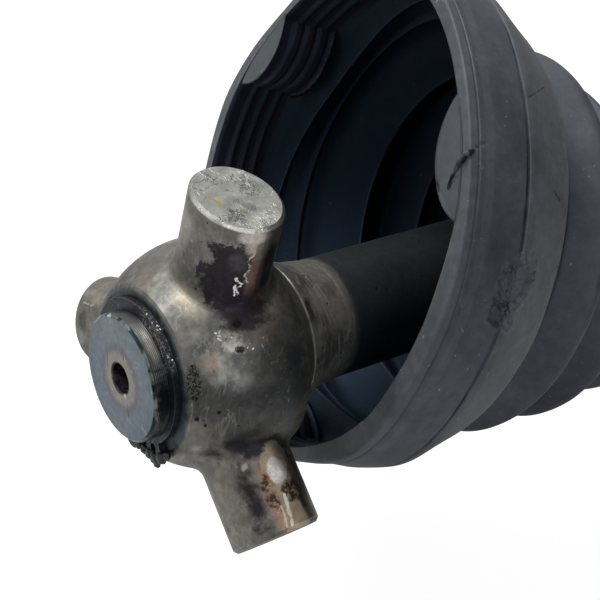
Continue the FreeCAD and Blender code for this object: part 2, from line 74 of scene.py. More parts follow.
class Graph:
    """A node tree with short ways to add nodes and join them."""

    def __init__(self, tree: bpy.types.NodeTree) -> None:
        """Work on this tree."""
        self.tree = tree

    def add(self, kind: str, feeds: dict[Any, Any] | None = None, **settings: Any) -> bpy.types.Node:
        """Add a node.

        Args:
            kind: the node's type name.
            feeds: for each input, by name or number, a socket to join or a plain value.
            settings: properties of the node.
        Returns:
            The new node.
        """
        node = self.tree.nodes.new(kind)
        for name, setting in settings.items():
            setattr(node, name, setting)
        for key, source in (feeds or {}).items():
            self.feed(node.inputs[key], source)
        return node

    def feed(self, socket: bpy.types.NodeSocket, source: Any) -> None:
        """Join a socket to an input, or set the input's own value."""
        if isinstance(source, bpy.types.NodeSocket):
            self.tree.links.new(source, socket)
        elif isinstance(source, tuple) and socket.type == "RGBA":
            socket.default_value = (*source[:3], 1.0)
        else:
            socket.default_value = source

    def math(self, operation: str, *terms: Any) -> bpy.types.NodeSocket:
        """The result of a Math node on these terms."""
        return self.add("ShaderNodeMath", dict(enumerate(terms)), operation=operation).outputs[0]

    def times(self, one: Any, other: Any) -> bpy.types.NodeSocket:
        """One number times another."""
        return self.math("MULTIPLY", one, other)

    def vector(self, operation: str, *terms: Any, out: int = 0) -> bpy.types.NodeSocket:
        """The result of a Vector Math node on these terms."""
        node = self.add("ShaderNodeVectorMath", operation=operation)
        for number, term in enumerate(terms):
            self.feed(node.inputs[3 if operation == "SCALE" and number == 1 else number], term)
        return node.outputs[out]

    def mix(self, share: Any, low: Any, high: Any) -> bpy.types.NodeSocket:
        """A colour between low and high, by share."""
        return self.add("ShaderNodeMix", {0: share, 6: low, 7: high}, data_type="RGBA").outputs[2]

    def blend(self, share: Any, low: Any, high: Any) -> bpy.types.NodeSocket:
        """A number between low and high, by share."""
        return self.add("ShaderNodeMix", {0: share, 2: low, 3: high}, data_type="FLOAT").outputs[0]

    def step(self, value: Any, low: Any, high: Any) -> bpy.types.NodeSocket:
        """Smoothly 0 at low and 1 at high."""
        feeds = {"Value": value, "From Min": low, "From Max": high}
        return self.add("ShaderNodeMapRange", feeds, interpolation_type="SMOOTHSTEP", clamp=False).outputs[0]

    def place(self) -> bpy.types.NodeSocket:
        """Where a point lies in the part's own frame, in metres."""
        return self.add("ShaderNodeTexCoord").outputs["Object"]

    def axes(self) -> tuple[Any, Any, Any]:
        """The three numbers of a point's place."""
        return tuple(self.add("ShaderNodeSeparateXYZ", {0: self.place()}).outputs)

    def noise(self, scale: Any, detail: float = 2.0, rough: Any = 0.5, at: Any = None,
              bent: float = 0.0) -> bpy.types.NodeSocket:
        """A cloud of numbers from 0 to 1.

        Args:
            scale: how fine it is.
            detail: how many finer layers it has.
            rough: how strong those are.
            at: where it is looked up, or None for the point's own place.
            bent: how far it is bent by itself.
        Returns:
            The cloud's socket.
        """
        feeds = {"Vector": self.place() if at is None else at, "Scale": scale, "Detail": detail,
                 "Roughness": rough, "Distortion": bent}
        return self.add("ShaderNodeTexNoise", feeds).outputs[0]

    def around(self, cloud: Any, amount: Any) -> bpy.types.NodeSocket:
        """A cloud set about nought and scaled."""
        return self.times(self.math("SUBTRACT", cloud, 0.5), amount)

    def radius(self, across: Any, up: Any) -> bpy.types.NodeSocket:
        """How far a point is from the bar's axis."""
        return self.math("SQRT", self.math("ADD", self.times(across, across), self.times(up, up)))


class Socket(Enum):
    """The kinds of socket that a node group shows."""

    NUMBER = "NodeSocketFloat"
    VECTOR = "NodeSocketVector"


@dataclass(frozen=True)
class Effect:
    """A surface effect that several finishes use, built once as a node group that gives a mask."""

    name: str
    inputs: dict[str, float | Point]
    body: Callable[[Graph, Any], bpy.types.NodeSocket]

    def tree(self) -> bpy.types.NodeTree:
        """The effect's node group, built on first use."""
        if self.name in bpy.data.node_groups:
            return bpy.data.node_groups[self.name]
        tree = bpy.data.node_groups.new(self.name, "ShaderNodeTree")
        for label, start in self.inputs.items():
            kind = Socket.VECTOR if isinstance(start, tuple) else Socket.NUMBER
            tree.interface.new_socket(label, in_out="INPUT", socket_type=kind.value).default_value = start
        tree.interface.new_socket("Mask", in_out="OUTPUT", socket_type=Socket.NUMBER.value)
        graph = Graph(tree)
        given = graph.add("NodeGroupInput").outputs
        graph.add("NodeGroupOutput", {"Mask": self.body(graph, given)})
        return tree

    def use(self, graph: Graph, **values: Any) -> bpy.types.NodeSocket:
        """Place the effect in a material.

        Args:
            graph: the material's tree.
            values: the effect's inputs by name.
        Returns:
            The effect's mask.
        """
        return graph.add("ShaderNodeGroup", values, node_tree=self.tree()).outputs[0]


def blotch_body(graph: Graph, given: Any) -> bpy.types.NodeSocket:
    """Soft cloudy patches between two thresholds."""
    place = graph.vector("MULTIPLY", graph.vector("ADD", graph.place(), given["Shift"]), given["Stretch"])
    return graph.step(graph.noise(given["Scale"], 5.0, given["Rough"], place), given["Low"], given["High"])


def spot_body(graph: Graph, given: Any) -> bpy.types.NodeSocket:
    """One patch with a ragged edge, at a fixed place on the part."""
    away = graph.vector("SUBTRACT", graph.place(), given["Centre"])
    feeds = {"Vector": away, "Angle": given["Turn"]}
    turned = graph.add("ShaderNodeVectorRotate", feeds, rotation_type="X_AXIS")
    shrunk = graph.vector("DIVIDE", turned.outputs[0], given["Reach"])
    shove = graph.around(graph.noise(given["Grain"], 7.0, 0.68), given["Ragged"])
    far = graph.math("ADD", graph.vector("LENGTH", shrunk, out=1), graph.times(shove, 2.2))
    whole = graph.step(far, 1.0, graph.math("SUBTRACT", 1.0, given["Soft"]))
    aside = graph.vector("ADD", graph.place(), (0.3, 0.1, 0.2))
    flakes = graph.step(graph.noise(graph.times(given["Grain"], 2.2), 5.0, 0.7, aside), 0.46, 0.55)
    return graph.times(whole, graph.math("SUBTRACT", 1.0, graph.times(flakes, given["Broken"])))


def stroke_body(graph: Graph, given: Any) -> bpy.types.NodeSocket:
    """A line from one point to another, with a wandering edge."""
    place = graph.place()
    shove = graph.around(graph.noise(given["Grain"], 4.0, 0.65, place), given["Ragged"])
    here = graph.vector("SUBTRACT", place, given["From"])
    run = graph.vector("SUBTRACT", given["To"], given["From"])
    dot = graph.vector("DOT_PRODUCT", here, run, out=1)
    whole = graph.math("DIVIDE", dot, graph.vector("DOT_PRODUCT", run, run, out=1))
    share = graph.math("MINIMUM", graph.math("MAXIMUM", whole, 0.0), 1.0)
    off = graph.vector("LENGTH", graph.vector("SUBTRACT", here, graph.vector("SCALE", run, share)), out=1)
    far = graph.math("MULTIPLY_ADD", shove, 2.0, off)
    return graph.step(far, given["Width"], graph.times(given["Width"], 0.45))


def pits_body(graph: Graph, given: Any) -> bpy.types.NodeSocket:
    """Scattered round specks, some of the cells left empty."""
    place = graph.vector("MULTIPLY", graph.place(), given["Stretch"])
    cells = graph.add("ShaderNodeTexVoronoi", {"Vector": place, "Scale": given["Scale"], "Randomness": 1.0})
    red, green = graph.add("ShaderNodeSeparateColor", {0: cells.outputs["Color"]}).outputs[:2]
    wide = graph.times(given["Size"], graph.math("ADD", 0.35, green))
    dot = graph.step(cells.outputs["Distance"], wide, graph.times(wide, 0.5))
    return graph.times(dot, graph.math("LESS_THAN", red, given["Cover"]))


def scratch_body(graph: Graph, given: Any) -> bpy.types.NodeSocket:
    """Fine broken scratches along the direction that is stretched least."""
    place = graph.vector("MULTIPLY", graph.place(), given["Stretch"])
    fine = graph.noise(given["Scale"], 3.0, 0.5, place, 0.3)
    near = graph.math("ABSOLUTE", graph.math("SUBTRACT", fine, 0.5))
    line = graph.step(near, given["Width"], 0.0)
    gate = graph.noise(graph.times(given["Scale"], 0.6))
    return graph.times(line, graph.step(gate, given["Gate"], graph.math("ADD", given["Gate"], 0.08)))


def rings_body(graph: Graph, given: Any) -> bpy.types.NodeSocket:
    """Rings about X, left by turning."""
    wander = graph.times(graph.noise(300.0), graph.times(given["Pitch"], 0.5))
    turns = graph.math("DIVIDE", graph.math("ADD", graph.axes()[0], wander), given["Pitch"])
    return graph.math("MULTIPLY_ADD", graph.math("SINE", graph.times(turns, math.tau)), 0.5, 0.5)


def band_body(graph: Graph, given: Any) -> bpy.types.NodeSocket:
    """A band across an axis, between two depths from its origin."""
    away = graph.vector("SUBTRACT", graph.place(), given["Origin"])
    depth = graph.vector("DOT_PRODUCT", away, given["Axis"], out=1)
    here = graph.math("ADD", depth, graph.around(graph.noise(220.0, 5.0), given["Ragged"]))
    begun = graph.step(here, given["From"], graph.math("ADD", given["From"], given["Soft"]))
    return graph.times(begun, graph.step(here, graph.math("ADD", given["To"], given["Soft"]), given["To"]))


def edge_wear_and_glint_body(graph: Graph, given: Any) -> bpy.types.NodeSocket:
    """Where the surface bends sharply, broken up by a fine cloud."""
    bevel = graph.add("ShaderNodeBevel", {"Radius": given["Radius"]}, samples=4)
    flat = graph.add("ShaderNodeNewGeometry")
    same = graph.vector("DOT_PRODUCT", bevel.outputs[0], flat.outputs["Normal"], out=1)
    cloud = graph.times(graph.noise(900.0, 3.0), given["Ragged"])
    bent = graph.math("ADD", graph.math("SUBTRACT", 1.0, same), cloud)
    return graph.step(bent, given["Low"], graph.math("ADD", given["Low"], 0.12))


EVEN = (1.0, 1.0, 1.0)
NOWHERE = (0.0, 0.0, 0.0)
BLOTCH = Effect(
    "soft_blotches",
    {"Scale": 60.0, "Rough": 0.6, "Low": 0.4, "High": 0.65, "Stretch": EVEN, "Shift": NOWHERE}, blotch_body)
SPOT = Effect(
    "ragged_spot",
    {"Centre": NOWHERE, "Turn": 0.0, "Reach": (0.01, 0.01, 0.01), "Ragged": 0.5, "Grain": 300.0, "Soft": 0.3,
     "Broken": 0.0}, spot_body)
STROKE = Effect(
    "wandering_stroke",
    {"From": NOWHERE, "To": (0.0, 0.0, 0.01), "Width": 0.0005, "Ragged": 0.0005, "Grain": 600.0}, stroke_body)
PITS = Effect("scattered_pits", {"Scale": 700.0, "Size": 0.2, "Cover": 0.3, "Stretch": EVEN}, pits_body)
SCRATCH = Effect(
    "broken_scratches", {"Scale": 100.0, "Width": 0.02, "Gate": 0.5, "Stretch": EVEN}, scratch_body)
RINGS = Effect("turned_rings", {"Pitch": 0.0004}, rings_body)
BAND = Effect(
    "depth_band",
    {"Origin": NOWHERE, "Axis": (-1.0, 0.0, 0.0), "From": 0.0, "To": 0.01, "Soft": 0.0002, "Ragged": 0.0},
    band_body)
# Sharp edges made lighter: as wear on the steel, and as painted highlights on the rubber's inner ridges and
# the pads' ribs.
EDGE_WEAR_AND_GLINT = Effect("edge_wear_and_glint", {"Radius": 0.0006, "Ragged": 0.1, "Low": 0.08}, edge_wear_and_glint_body)


@dataclass(frozen=True)
class Patch:
    """A stain or worn place on the steel: where it is, how far it reaches and what it looks like."""

    centre: Point
    reach: Point
    colour: Colour
    rough: float
    ragged: float = 0.5
    grain: float = 350.0
    soft: float = 0.35
    strength: float = 1.0
    height: float = 0.0
    broken: float = 0.0
    turn: float = 0.0

    def mask(self, graph: Graph) -> bpy.types.NodeSocket:
        """Where the patch lies, from 0 to its strength."""
        spot = SPOT.use(
            graph, Centre=scaled(self.centre), Turn=-math.radians(self.turn), Reach=scaled(self.reach),
            Ragged=self.ragged, Grain=self.grain, Soft=self.soft, Broken=self.broken)
        return graph.times(spot, self.strength)


@dataclass(frozen=True)
class Stroke:
    """A scratch, bright line or smear between two points on the steel or rubber."""

    start: Point
    end: Point
    width: float
    colour: Colour
    rough: float
    ragged: float = 0.3
    grain: float = 900.0
    strength: float = 1.0
    height: float = 0.0

    def mask(self, graph: Graph) -> bpy.types.NodeSocket:
        """Where the stroke lies, from 0 to its strength."""
        line = STROKE.use(
            graph, From=scaled(self.start), To=scaled(self.end), Width=self.width * MM,
            Ragged=self.ragged * MM, Grain=self.grain)
        return graph.times(line, self.strength)


@dataclass(frozen=True)
class Scratches:
    """Several strokes of one colour, laid together."""

    strokes: tuple[Stroke, ...]
    colour: Colour
    rough: float
    height: float = 0.0

    def mask(self, graph: Graph) -> bpy.types.NodeSocket:
        """Where any of the strokes lies."""
        masks = [stroke.mask(graph) for stroke in self.strokes]
        whole = masks[0]
        for mask in masks[1:]:
            whole = graph.math("MAXIMUM", whole, mask)
        return whole


def scaled(point: Point) -> Point:
    """A point given in millimetres, in metres."""
    return tuple(MM * value for value in point)


class Surface:
    """The colour, roughness, metal share and height of a surface while marks are laid on it."""

    def __init__(self, name: str, colour: Any, rough: Any, metal: Any) -> None:
        """Start a material whose surface is plain.

        Args:
            name: the material's name.
            colour: its base colour.
            rough: its roughness.
            metal: its metallic share.
        """
        self.material = bpy.data.materials.new(name)
        self.material.use_nodes = True
        self.material.node_tree.nodes.clear()
        self.graph = Graph(self.material.node_tree)
        self.colour, self.rough, self.metal, self.height = colour, rough, metal, 0.0

    def lay(self, mask: Any, colour: Any = None, rough: Any = None, metal: Any = None,
            height: float = 0.0) -> None:
        """Lay a mark over the surface.

        Args:
            mask: where the mark lies, 0 to 1.
            colour: the mark's colour, or None to keep what is there.
            rough: the mark's roughness, or None.
            metal: the mark's metallic share, or None.
            height: how far the mark stands up, in metres.
        """
        graph = self.graph
        if colour is not None:
            self.colour = graph.mix(mask, self.colour, colour)
        if rough is not None:
            self.rough = graph.blend(mask, self.rough, rough)
        if metal is not None:
            self.metal = graph.blend(mask, self.metal, metal)
        if height:
            self.height = graph.math("ADD", self.height, graph.times(mask, height))

    def cover(self, effect: Effect, colour: Any = None, rough: Any = None, height: float = 0.0,
              within: Any = 1.0, **values: Any) -> None:
        """Lay an effect over the surface.

        Args:
            effect: the effect that is laid.
            colour: its colour, or None to keep what is there.
            rough: its roughness, or None.
            height: how far it stands up, in metres.
            within: a mask or share that holds it in.
            values: the effect's own inputs.
        """
        mask = effect.use(self.graph, **values)
        self.lay(mask if within == 1.0 else self.graph.times(within, mask), colour, rough, None, height)

    def mottle(self, amount: float, scale: float) -> None:
        """Vary the colour finely, lighter and darker.

        Args:
            amount: how far the colour varies, as a share.
            scale: how fine the variation is.
        """
        share = self.graph.step(self.graph.noise(scale, 8.0, 0.72), 0.3, 0.7)
        factor = self.graph.blend(share, 1.0 - amount, 1.0 + amount)
        feeds = {"Value": factor, "Color": self.colour}
        self.colour = self.graph.add("ShaderNodeHueSaturation", feeds).outputs[0]

    def marks(self, marks: tuple[Patch | Stroke | Scratches, ...]) -> None:
        """Lay patches and strokes in order."""
        for mark in marks:
            self.lay(mark.mask(self.graph), mark.colour, mark.rough, None, mark.height * MM)

    def finish(self, **fixed: float | Colour) -> bpy.types.Material:
        """Join the surface to its shader.

        Args:
            fixed: values set on the shader's own sockets, with _ for a space.
        Returns:
            The material.
        """
        graph = self.graph
        feeds = {"Base Color": self.colour, "Roughness": self.rough, "Metallic": self.metal}
        shader = graph.add("ShaderNodeBsdfPrincipled", feeds)
        for label, value in fixed.items():
            graph.feed(shader.inputs[label.replace("_", " ")], value)
        if isinstance(self.height, bpy.types.NodeSocket):
            bump = graph.add("ShaderNodeBump", {"Strength": 1.0, "Distance": 1.0, "Height": self.height})
            graph.feed(shader.inputs["Normal"], bump.outputs[0])
        graph.add("ShaderNodeOutputMaterial", {"Surface": shader.outputs[0]})
        return self.material


# ------------------------------------------------------------------ finishes

@dataclass(frozen=True)
class ForgedSteel:
    """The spider: forged and ground steel with heat tint, stains, pits and rubbed places, and painted shade
    and highlights among its marks.
    """

    name: str = "spider_steel"
    base: Colour = (0.165, 0.163, 0.146)
    dark: Colour = (0.075, 0.077, 0.073)
    pale: Colour = (0.260, 0.256, 0.232)
    tan: Colour = (0.205, 0.172, 0.130)
    rough: float = 0.40
    tip_radius: float = 37.2
    front: float = 13.45
    marks: tuple[Patch | Stroke | Scratches, ...] = ()
    tips: tuple[Patch | Stroke | Scratches, ...] = ()

    def material(self) -> bpy.types.Material:
        """Build the finish."""
        surface = Surface(self.name, self.base, self.rough, 0.85)
        graph, cover = surface.graph, surface.cover
        cover(BLOTCH, self.dark, 0.48, Scale=48.0, Low=0.42, High=0.64)
        cover(BLOTCH, self.pale, 0.34, Scale=110.0, Low=0.5, High=0.70, Shift=(0.1, 0.0, 0.0))
        cover(BLOTCH, self.tan, within=0.6, Scale=70.0, Low=0.5, High=0.72, Shift=(0.0, 0.3, 0.0))
        cover(BLOTCH, None, 0.5, 0.00001, Scale=700.0, Rough=0.8, Low=0.35, High=0.75)
        cover(SCRATCH, self.pale, 0.32, -0.000004, 0.45, Scale=330.0, Width=0.03, Gate=0.46,
              Stretch=(1.0, 1.0, 0.12))
        cover(SCRATCH, (0.30, 0.29, 0.27), 0.3, -0.000006, Scale=240.0, Width=0.006, Gate=0.60)
        cover(PITS, (0.030, 0.030, 0.030), 0.6, -0.00003, Scale=520.0, Size=0.17, Cover=0.10)
        surface.marks(self.marks)
        worn = EDGE_WEAR_AND_GLINT.use(graph, Radius=0.0005, Ragged=0.22, Low=0.12)
        cover(BLOTCH, (0.46, 0.45, 0.42), 0.3, within=worn, Scale=90.0, Low=0.46, High=0.6)
        along, _, up = graph.axes()
        front = graph.step(along, self.front * MM, (self.front + 0.3) * MM)
        surface.lay(front, (0.050, 0.058, 0.070), 0.42)
        cover(BLOTCH, (0.020, 0.023, 0.030), 0.5, within=front, Scale=300.0, Low=0.5, High=0.62)
        tip = graph.step(up, (self.tip_radius - 0.1) * MM, (self.tip_radius + 0.35) * MM)
        surface.lay(tip, (0.300, 0.305, 0.280), 0.40)
        cover(SCRATCH, (0.135, 0.135, 0.125), 0.5, -0.00004, tip, Scale=230.0, Width=0.022, Gate=0.48,
              Stretch=(0.8, 1.0, 1.0))
        cover(SCRATCH, (0.48, 0.48, 0.45), 0.34, 0.00003, tip, Scale=420.0, Width=0.02, Gate=0.5,
              Stretch=(1.0, 0.6, 1.0))
        surface.marks(self.tips)
        surface.mottle(0.26, 420.0)
        return surface.finish()


@dataclass(frozen=True)
class TurnedSteel:
    """The bar: turned steel with an end face painted blue-grey as a reflection, a bright pilot, splines and a
    length darkened as painted shade from the boot.
    """

    name: str = "bar_steel"
    pilot_from: float = 15.05
    chamfer_from: float = 17.75
    face_from: float = 18.20
    face_radius: float = 11.95
    marks: tuple[Patch | Stroke | Scratches, ...] = ()

    def material(self) -> bpy.types.Material:
        """Build the finish."""
        # The dark base is painted shade from the boot over the bar's length; lighter stretches are laid over
        # it.
        surface = Surface(self.name, (0.034, 0.040, 0.043), 0.46, 0.7)
        graph, cover = surface.graph, surface.cover
        along, across, up = graph.axes()
        radius = graph.radius(across, up)
        cover(BLOTCH, (0.020, 0.024, 0.026), 0.55, Scale=90.0, Low=0.45, High=0.7)
        cover(PITS, (0.010, 0.012, 0.013), 0.7, -0.00004, Scale=420.0, Size=0.22, Cover=0.25)
        cover(BLOTCH, None, 0.55, 0.000012, Scale=800.0, Rough=0.8, Low=0.3, High=0.75)
        self.shoulder(surface, along)
        self.pilot(surface, along)
        self.chamfer(surface, along, radius)
        self.face(surface, along, radius)
        bore = graph.times(graph.step(radius, 0.00345, 0.00320), graph.step(along, 0.0, 0.001))
        surface.lay(bore, (0.110, 0.100, 0.105), 0.45)
        cover(BLOTCH, (0.03, 0.028, 0.03), 0.5, within=bore, Scale=500.0, Low=0.45, High=0.55)
        surface.marks(self.marks)
        cover(EDGE_WEAR_AND_GLINT, (0.40, 0.41, 0.40), 0.3, within=0.6, Radius=0.0003, Ragged=0.18, Low=0.18)
        surface.mottle(0.16, 700.0)
        return surface.finish()

    def shoulder(self, surface: Surface, along: Any) -> None:
        """Lay the bright, pitted stretch behind the spider; behind it the bar keeps its dark base as painted
        shade from the boot.
        """
        graph, cover = surface.graph, surface.cover
        bright = graph.times(graph.step(along, -0.0295, -0.0258), graph.step(along, -0.0140, -0.0150))
        surface.lay(bright, (0.300, 0.288, 0.262), 0.36)
        cover(BLOTCH, (0.110, 0.106, 0.102), 0.48, within=bright, Scale=130.0, Low=0.46, High=0.66,
              Shift=(0.2, 0.0, 0.0))
        cover(SCRATCH, (0.42, 0.40, 0.36), 0.3, -0.000006, bright, Scale=300.0, Width=0.03, Gate=0.45,
              Stretch=(1.0, 0.15, 0.15))
        cover(PITS, (0.035, 0.034, 0.035), 0.6, -0.00005, bright, Scale=700.0, Size=0.24, Cover=0.30)

    def pilot(self, surface: Surface, along: Any) -> None:
        """Lay the turned pilot with its tool lines."""
        pilot = surface.graph.step(along, self.pilot_from * MM, (self.pilot_from + 0.15) * MM)
        surface.lay(pilot, (0.260, 0.255, 0.245), 0.26, 1.0)
        surface.cover(RINGS, (0.030, 0.033, 0.038), 0.34, -0.00003, pilot, Pitch=0.00036)
        surface.cover(BLOTCH, (0.018, 0.021, 0.026), 0.4, within=pilot, Scale=120.0, Low=0.50, High=0.60,
                      Stretch=(0.3, 1.0, 1.0))

    def chamfer(self, surface: Surface, along: Any, radius: Any) -> None:
        """Lay the chamfer round the end, bright and dark by turns."""
        graph = surface.graph
        chamfer = graph.times(
            graph.step(along, (self.chamfer_from - 0.02) * MM, (self.chamfer_from + 0.02) * MM),
            graph.step(radius, (self.face_radius - 0.05) * MM, (self.face_radius + 0.02) * MM))
        surface.lay(chamfer, (0.150, 0.190, 0.180), 0.20, 1.0)
        surface.cover(BLOTCH, (0.014, 0.030, 0.029), 0.24, within=chamfer, Scale=240.0, Low=0.40, High=0.50)
        surface.cover(PITS, (0.70, 0.74, 0.71), 0.2, within=chamfer, Scale=330.0, Size=0.30, Cover=0.14)

    def face(self, surface: Surface, along: Any, radius: Any) -> None:
        """Lay the end face, blue-grey as a painted reflection of a pale sky, with a straw halo round the
        centre hole.
        """
        graph = surface.graph
        face = graph.times(
            graph.step(along, self.face_from * MM, (self.face_from + 0.06) * MM),
            graph.step(radius, (self.face_radius + 0.02) * MM, (self.face_radius - 0.1) * MM))
        # The face's blue-grey tones are a painted reflection of a pale sky.
        surface.lay(face, (0.165, 0.205, 0.245), 0.40, 1.0)
        surface.lay(graph.times(face, graph.step(radius, 0.0088, 0.0112)), (0.135, 0.172, 0.205), 0.38)
        surface.cover(BLOTCH, (0.200, 0.242, 0.275), 0.42, within=face, Scale=60.0, Low=0.42, High=0.66,
                      Shift=(0.0, 0.2, 0.1))
        surface.lay(graph.times(face, graph.step(radius, 0.0076, 0.0060)), (0.168, 0.165, 0.196), 0.40)
        surface.lay(graph.times(face, graph.step(radius, 0.0062, 0.0046)), (0.300, 0.288, 0.252), 0.42)
        surface.cover(SCRATCH, (0.27, 0.30, 0.33), 0.35, -0.000006, face, Scale=300.0, Width=0.012, Gate=0.5,
                      Stretch=(1.0, 0.35, 1.0))


@dataclass(frozen=True)
class SpringSteel:
    """The clip and the wire ring: dark blued spring steel, with bright sheared crumbs on the clip's rim."""

    name: str
    sheared: float = 0.0
    base: Colour = (0.034, 0.038, 0.047)

    def material(self) -> bpy.types.Material:
        """Build the finish."""
        surface = Surface(self.name, self.base, 0.38, 0.9)
        cover = surface.cover
        cover(BLOTCH, (0.018, 0.021, 0.028), 0.5, Scale=260.0, Low=0.42, High=0.66)
        cover(SCRATCH, (0.12, 0.125, 0.13), 0.3, -0.000006, Scale=420.0, Width=0.015, Gate=0.52)
        if self.sheared:
            rim = SPOT.use(
                surface.graph, Centre=(0.0145, 0.0045, 0.0140), Reach=(0.004, 0.0078, 0.0088), Ragged=0.4,
                Grain=300.0, Soft=0.3)
            surface.lay(surface.graph.times(rim, self.sheared), (0.045, 0.046, 0.050), 0.5)
            cover(BLOTCH, (0.24, 0.235, 0.225), 0.3, 0.00014, rim, Scale=1500.0, Rough=0.75, Low=0.52,
                  High=0.60)
            cover(PITS, (0.85, 0.84, 0.80), 0.16, 0.00010, rim, Scale=1300.0, Size=0.30, Cover=0.45)
        cover(EDGE_WEAR_AND_GLINT, (0.20, 0.21, 0.22), 0.3, within=0.7, Radius=0.0003, Ragged=0.16, Low=0.14)
        surface.mottle(0.2, 900.0)
        return surface.finish()


@dataclass(frozen=True)
class Grease:
    """Old black grease, wet and lumpy, with grit in it."""

    name: str = "old_grease"

    def material(self) -> bpy.types.Material:
        """Build the finish."""
        surface = Surface(self.name, (0.012, 0.013, 0.016), 0.34, 0.0)
        surface.cover(BLOTCH, (0.028, 0.029, 0.032), 0.5, 0.0001, Scale=300.0, Low=0.4, High=0.7)
        surface.cover(PITS, (0.20, 0.20, 0.20), 0.4, 0.00006, Scale=1100.0, Size=0.3, Cover=0.25)
        surface.mottle(0.3, 900.0)
        return surface.finish()


@dataclass(frozen=True)
class BandSteel:
    """The neck clamp: zinc-dull strip steel, brushed along the band."""

    name: str = "clamp_steel"

    def material(self) -> bpy.types.Material:
        """Build the finish."""
        surface = Surface(self.name, (0.36, 0.37, 0.37), 0.38, 1.0)
        surface.cover(SCRATCH, (0.22, 0.23, 0.23), 0.45, -0.000006, Scale=400.0, Width=0.03, Gate=0.45,
                      Stretch=(1.0, 0.1, 0.1))
        surface.cover(BLOTCH, (0.20, 0.20, 0.19), 0.5, Scale=180.0, Low=0.46, High=0.7)
        surface.cover(EDGE_WEAR_AND_GLINT, (0.6, 0.6, 0.58), 0.3, Radius=0.0003, Ragged=0.14, Low=0.12)
        return surface.finish()


class Side(Enum):
    """Which face of the boot a rubber finish is for."""

    OUTSIDE = "outside"
    INSIDE = "inside"
    PAD_FACE = "pad face"
    PAD_SIDE = "pad side"

    @property
    def base(self) -> Colour:
        """The rubber's colour on this face; the inside's and the pads' sides' are near-black as painted
        shade.
        """
        return {
            Side.OUTSIDE: (0.040, 0.046, 0.057), Side.INSIDE: (0.0028, 0.0062, 0.0130),
            Side.PAD_FACE: (0.056, 0.064, 0.072), Side.PAD_SIDE: (0.0150, 0.0135, 0.0225)}[self]

    @property
    def sheen(self) -> dict[str, Any]:
        """How the face shines; the inside and the pads' sides shine weaker and bluer, as shaded copies."""
        if self in (Side.INSIDE, Side.PAD_SIDE):
            return {"Specular_IOR_Level": 0.22, "Specular_Tint": (0.45, 0.68, 1.0)}
        return {"Specular_IOR_Level": 0.5, "Specular_Tint": (0.82, 0.92, 1.0)}


